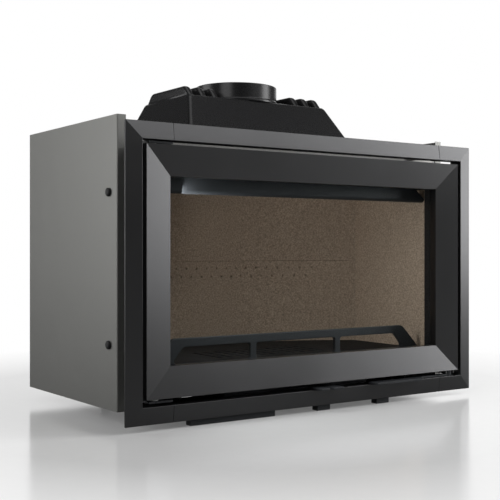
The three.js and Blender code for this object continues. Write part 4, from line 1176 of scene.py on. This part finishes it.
class FIREPLACE_OT_stage(bpy.types.Operator):
    """Set up the pale floor, the white background, the lamps and the camera"""

    bl_idname = "fireplace.stage"
    bl_label = "Stage"

    def execute(self, context):
        self.add_floor()
        self.add_world(context.scene)
        self.add_lamps()
        self.add_camera(context.scene)
        context.scene.view_settings.view_transform = "Standard"
        return {"FINISHED"}

    def add_floor(self):
        """A pale floor with a soft gloss that fades to white away from the object."""
        signs = ((-1, -1), (1, -1), (1, 1), (-1, 1))
        corners = [(x * FLOOR_REACH, y * FLOOR_REACH, FLOOR_HEIGHT) for x, y in signs]
        mesh = bpy.data.meshes.new("floor")
        mesh.from_pydata(corners, [], [(0, 1, 2, 3)])
        floor = link("floor", mesh)
        made, graph = new_material("pale_floor")
        grain = graph.noise(40, 3)
        surface = graph.surface(
            Base_Color=graph.blend(grain, grey(0.9), grey(0.94)),
            Roughness=0.15,
            IOR=2.0,
            Emission_Color=grey(1),
            Emission_Strength=0.12,
        )
        here = graph.place()
        apart = graph.node("ShaderNodeVectorMath", {"operation": "LENGTH"}, {0: here}, "Value")
        fade = graph.remap(apart, FADE_START, FADE_END)
        white = graph.node("ShaderNodeEmission", None, {"Color": grey(1), "Strength": 1.0})
        seen = graph.node("ShaderNodeMixShader", None, {0: fade, 1: surface, 2: white})
        muted = graph.node("ShaderNodeBsdfDiffuse", None, {"Color": grey(0.3)})
        path = graph.node("ShaderNodeLightPath", output="Is Camera Ray")
        mixed = graph.node("ShaderNodeMixShader", None, {0: path, 1: muted, 2: seen})
        graph.node("ShaderNodeOutputMaterial", None, {"Surface": mixed})
        mesh.materials.append(made)

    def add_world(self, scene):
        """White where the camera looks past the object, and a grey room for the light."""
        world = bpy.data.worlds.new("studio")
        world.use_nodes = True
        world.node_tree.nodes.clear()
        graph = Graph(world.node_tree)
        path = graph.node("ShaderNodeLightPath", output="Is Camera Ray")
        sky = graph.node("ShaderNodeTexCoord", output="Generated")
        sockets = {0: sky, 1: BACKDROP_WAY}
        ahead = graph.node("ShaderNodeVectorMath", {"operation": "DOT_PRODUCT"}, sockets, "Value")
        backdrop = graph.remap(ahead, 0.75, 0.9) * path.other("Is Glossy Ray")
        seen = path + path.other("Is Transmission Ray") + backdrop
        room = graph.node("ShaderNodeBackground", None, {"Color": grey(0.06)})
        white = graph.node("ShaderNodeBackground", None, {"Color": grey(1)})
        mixed = graph.node("ShaderNodeMixShader", None, {0: seen, 1: room, 2: white})
        graph.node("ShaderNodeOutputWorld", None, {"Surface": mixed})
        scene.world = world

    def add_lamps(self):
        """Soft lamps round the object, and a hidden one that lights the lining."""
        for lamp in LAMPS:
            area_lamp(*lamp, LAMP_TARGET)
        chamber = area_lamp(*CHAMBER_LAMP, CHAMBER_TARGET)
        chamber.visible_camera = False
        chamber.visible_glossy = False

    def add_camera(self, scene):
        data = bpy.data.cameras.new("photo_camera")
        data.sensor_width = 36.0
        data.lens = 70.60
        data.shift_y = -0.0016
        camera = link("photo_camera", data)
        camera.location = CAMERA_PLACE
        camera.rotation_euler = CAMERA_TURN
        scene.camera = camera


PIECES = (
    FIREPLACE_OT_surround,
    FIREPLACE_OT_door,
    FIREPLACE_OT_controls,
    FIREPLACE_OT_smoke_dome,
    FIREPLACE_OT_flue_collar,
    FIREPLACE_OT_casing,
    FIREPLACE_OT_bolts,
    FIREPLACE_OT_feet,
    FIREPLACE_OT_lining,
    FIREPLACE_OT_fire_parts,
    FIREPLACE_OT_firebox,
    FIREPLACE_OT_stage,
)


class FIREPLACE_PT_pieces(bpy.types.Panel):
    """Lists the pieces and their sizes and colours"""

    bl_label = "Fireplace insert"
    bl_idname = "FIREPLACE_PT_pieces"
    bl_space_type = "VIEW_3D"
    bl_region_type = "UI"
    bl_category = "Fireplace"

    def draw(self, context):
        for operator in PIECES:
            self.layout.operator(operator.bl_idname)
        for group in (context.scene.insert_sizes, context.scene.insert_colours):
            box = self.layout.box()
            for name in group.__annotations__:
                box.prop(group, name)


CLASSES = (InsertSizes, InsertColours, *PIECES, FIREPLACE_PT_pieces)


def register():
    for kind in CLASSES:
        bpy.utils.register_class(kind)
    bpy.types.Scene.insert_sizes = bpy.props.PointerProperty(type=InsertSizes)
    bpy.types.Scene.insert_colours = bpy.props.PointerProperty(type=InsertColours)


def unregister():
    del bpy.types.Scene.insert_colours
    del bpy.types.Scene.insert_sizes
    for kind in reversed(CLASSES):
        bpy.utils.unregister_class(kind)


def main():
    register()
    for operator in PIECES:
        group, name = operator.bl_idname.split(".")
        getattr(getattr(bpy.ops, group), name)()


if __name__ == "__main__":
    main()
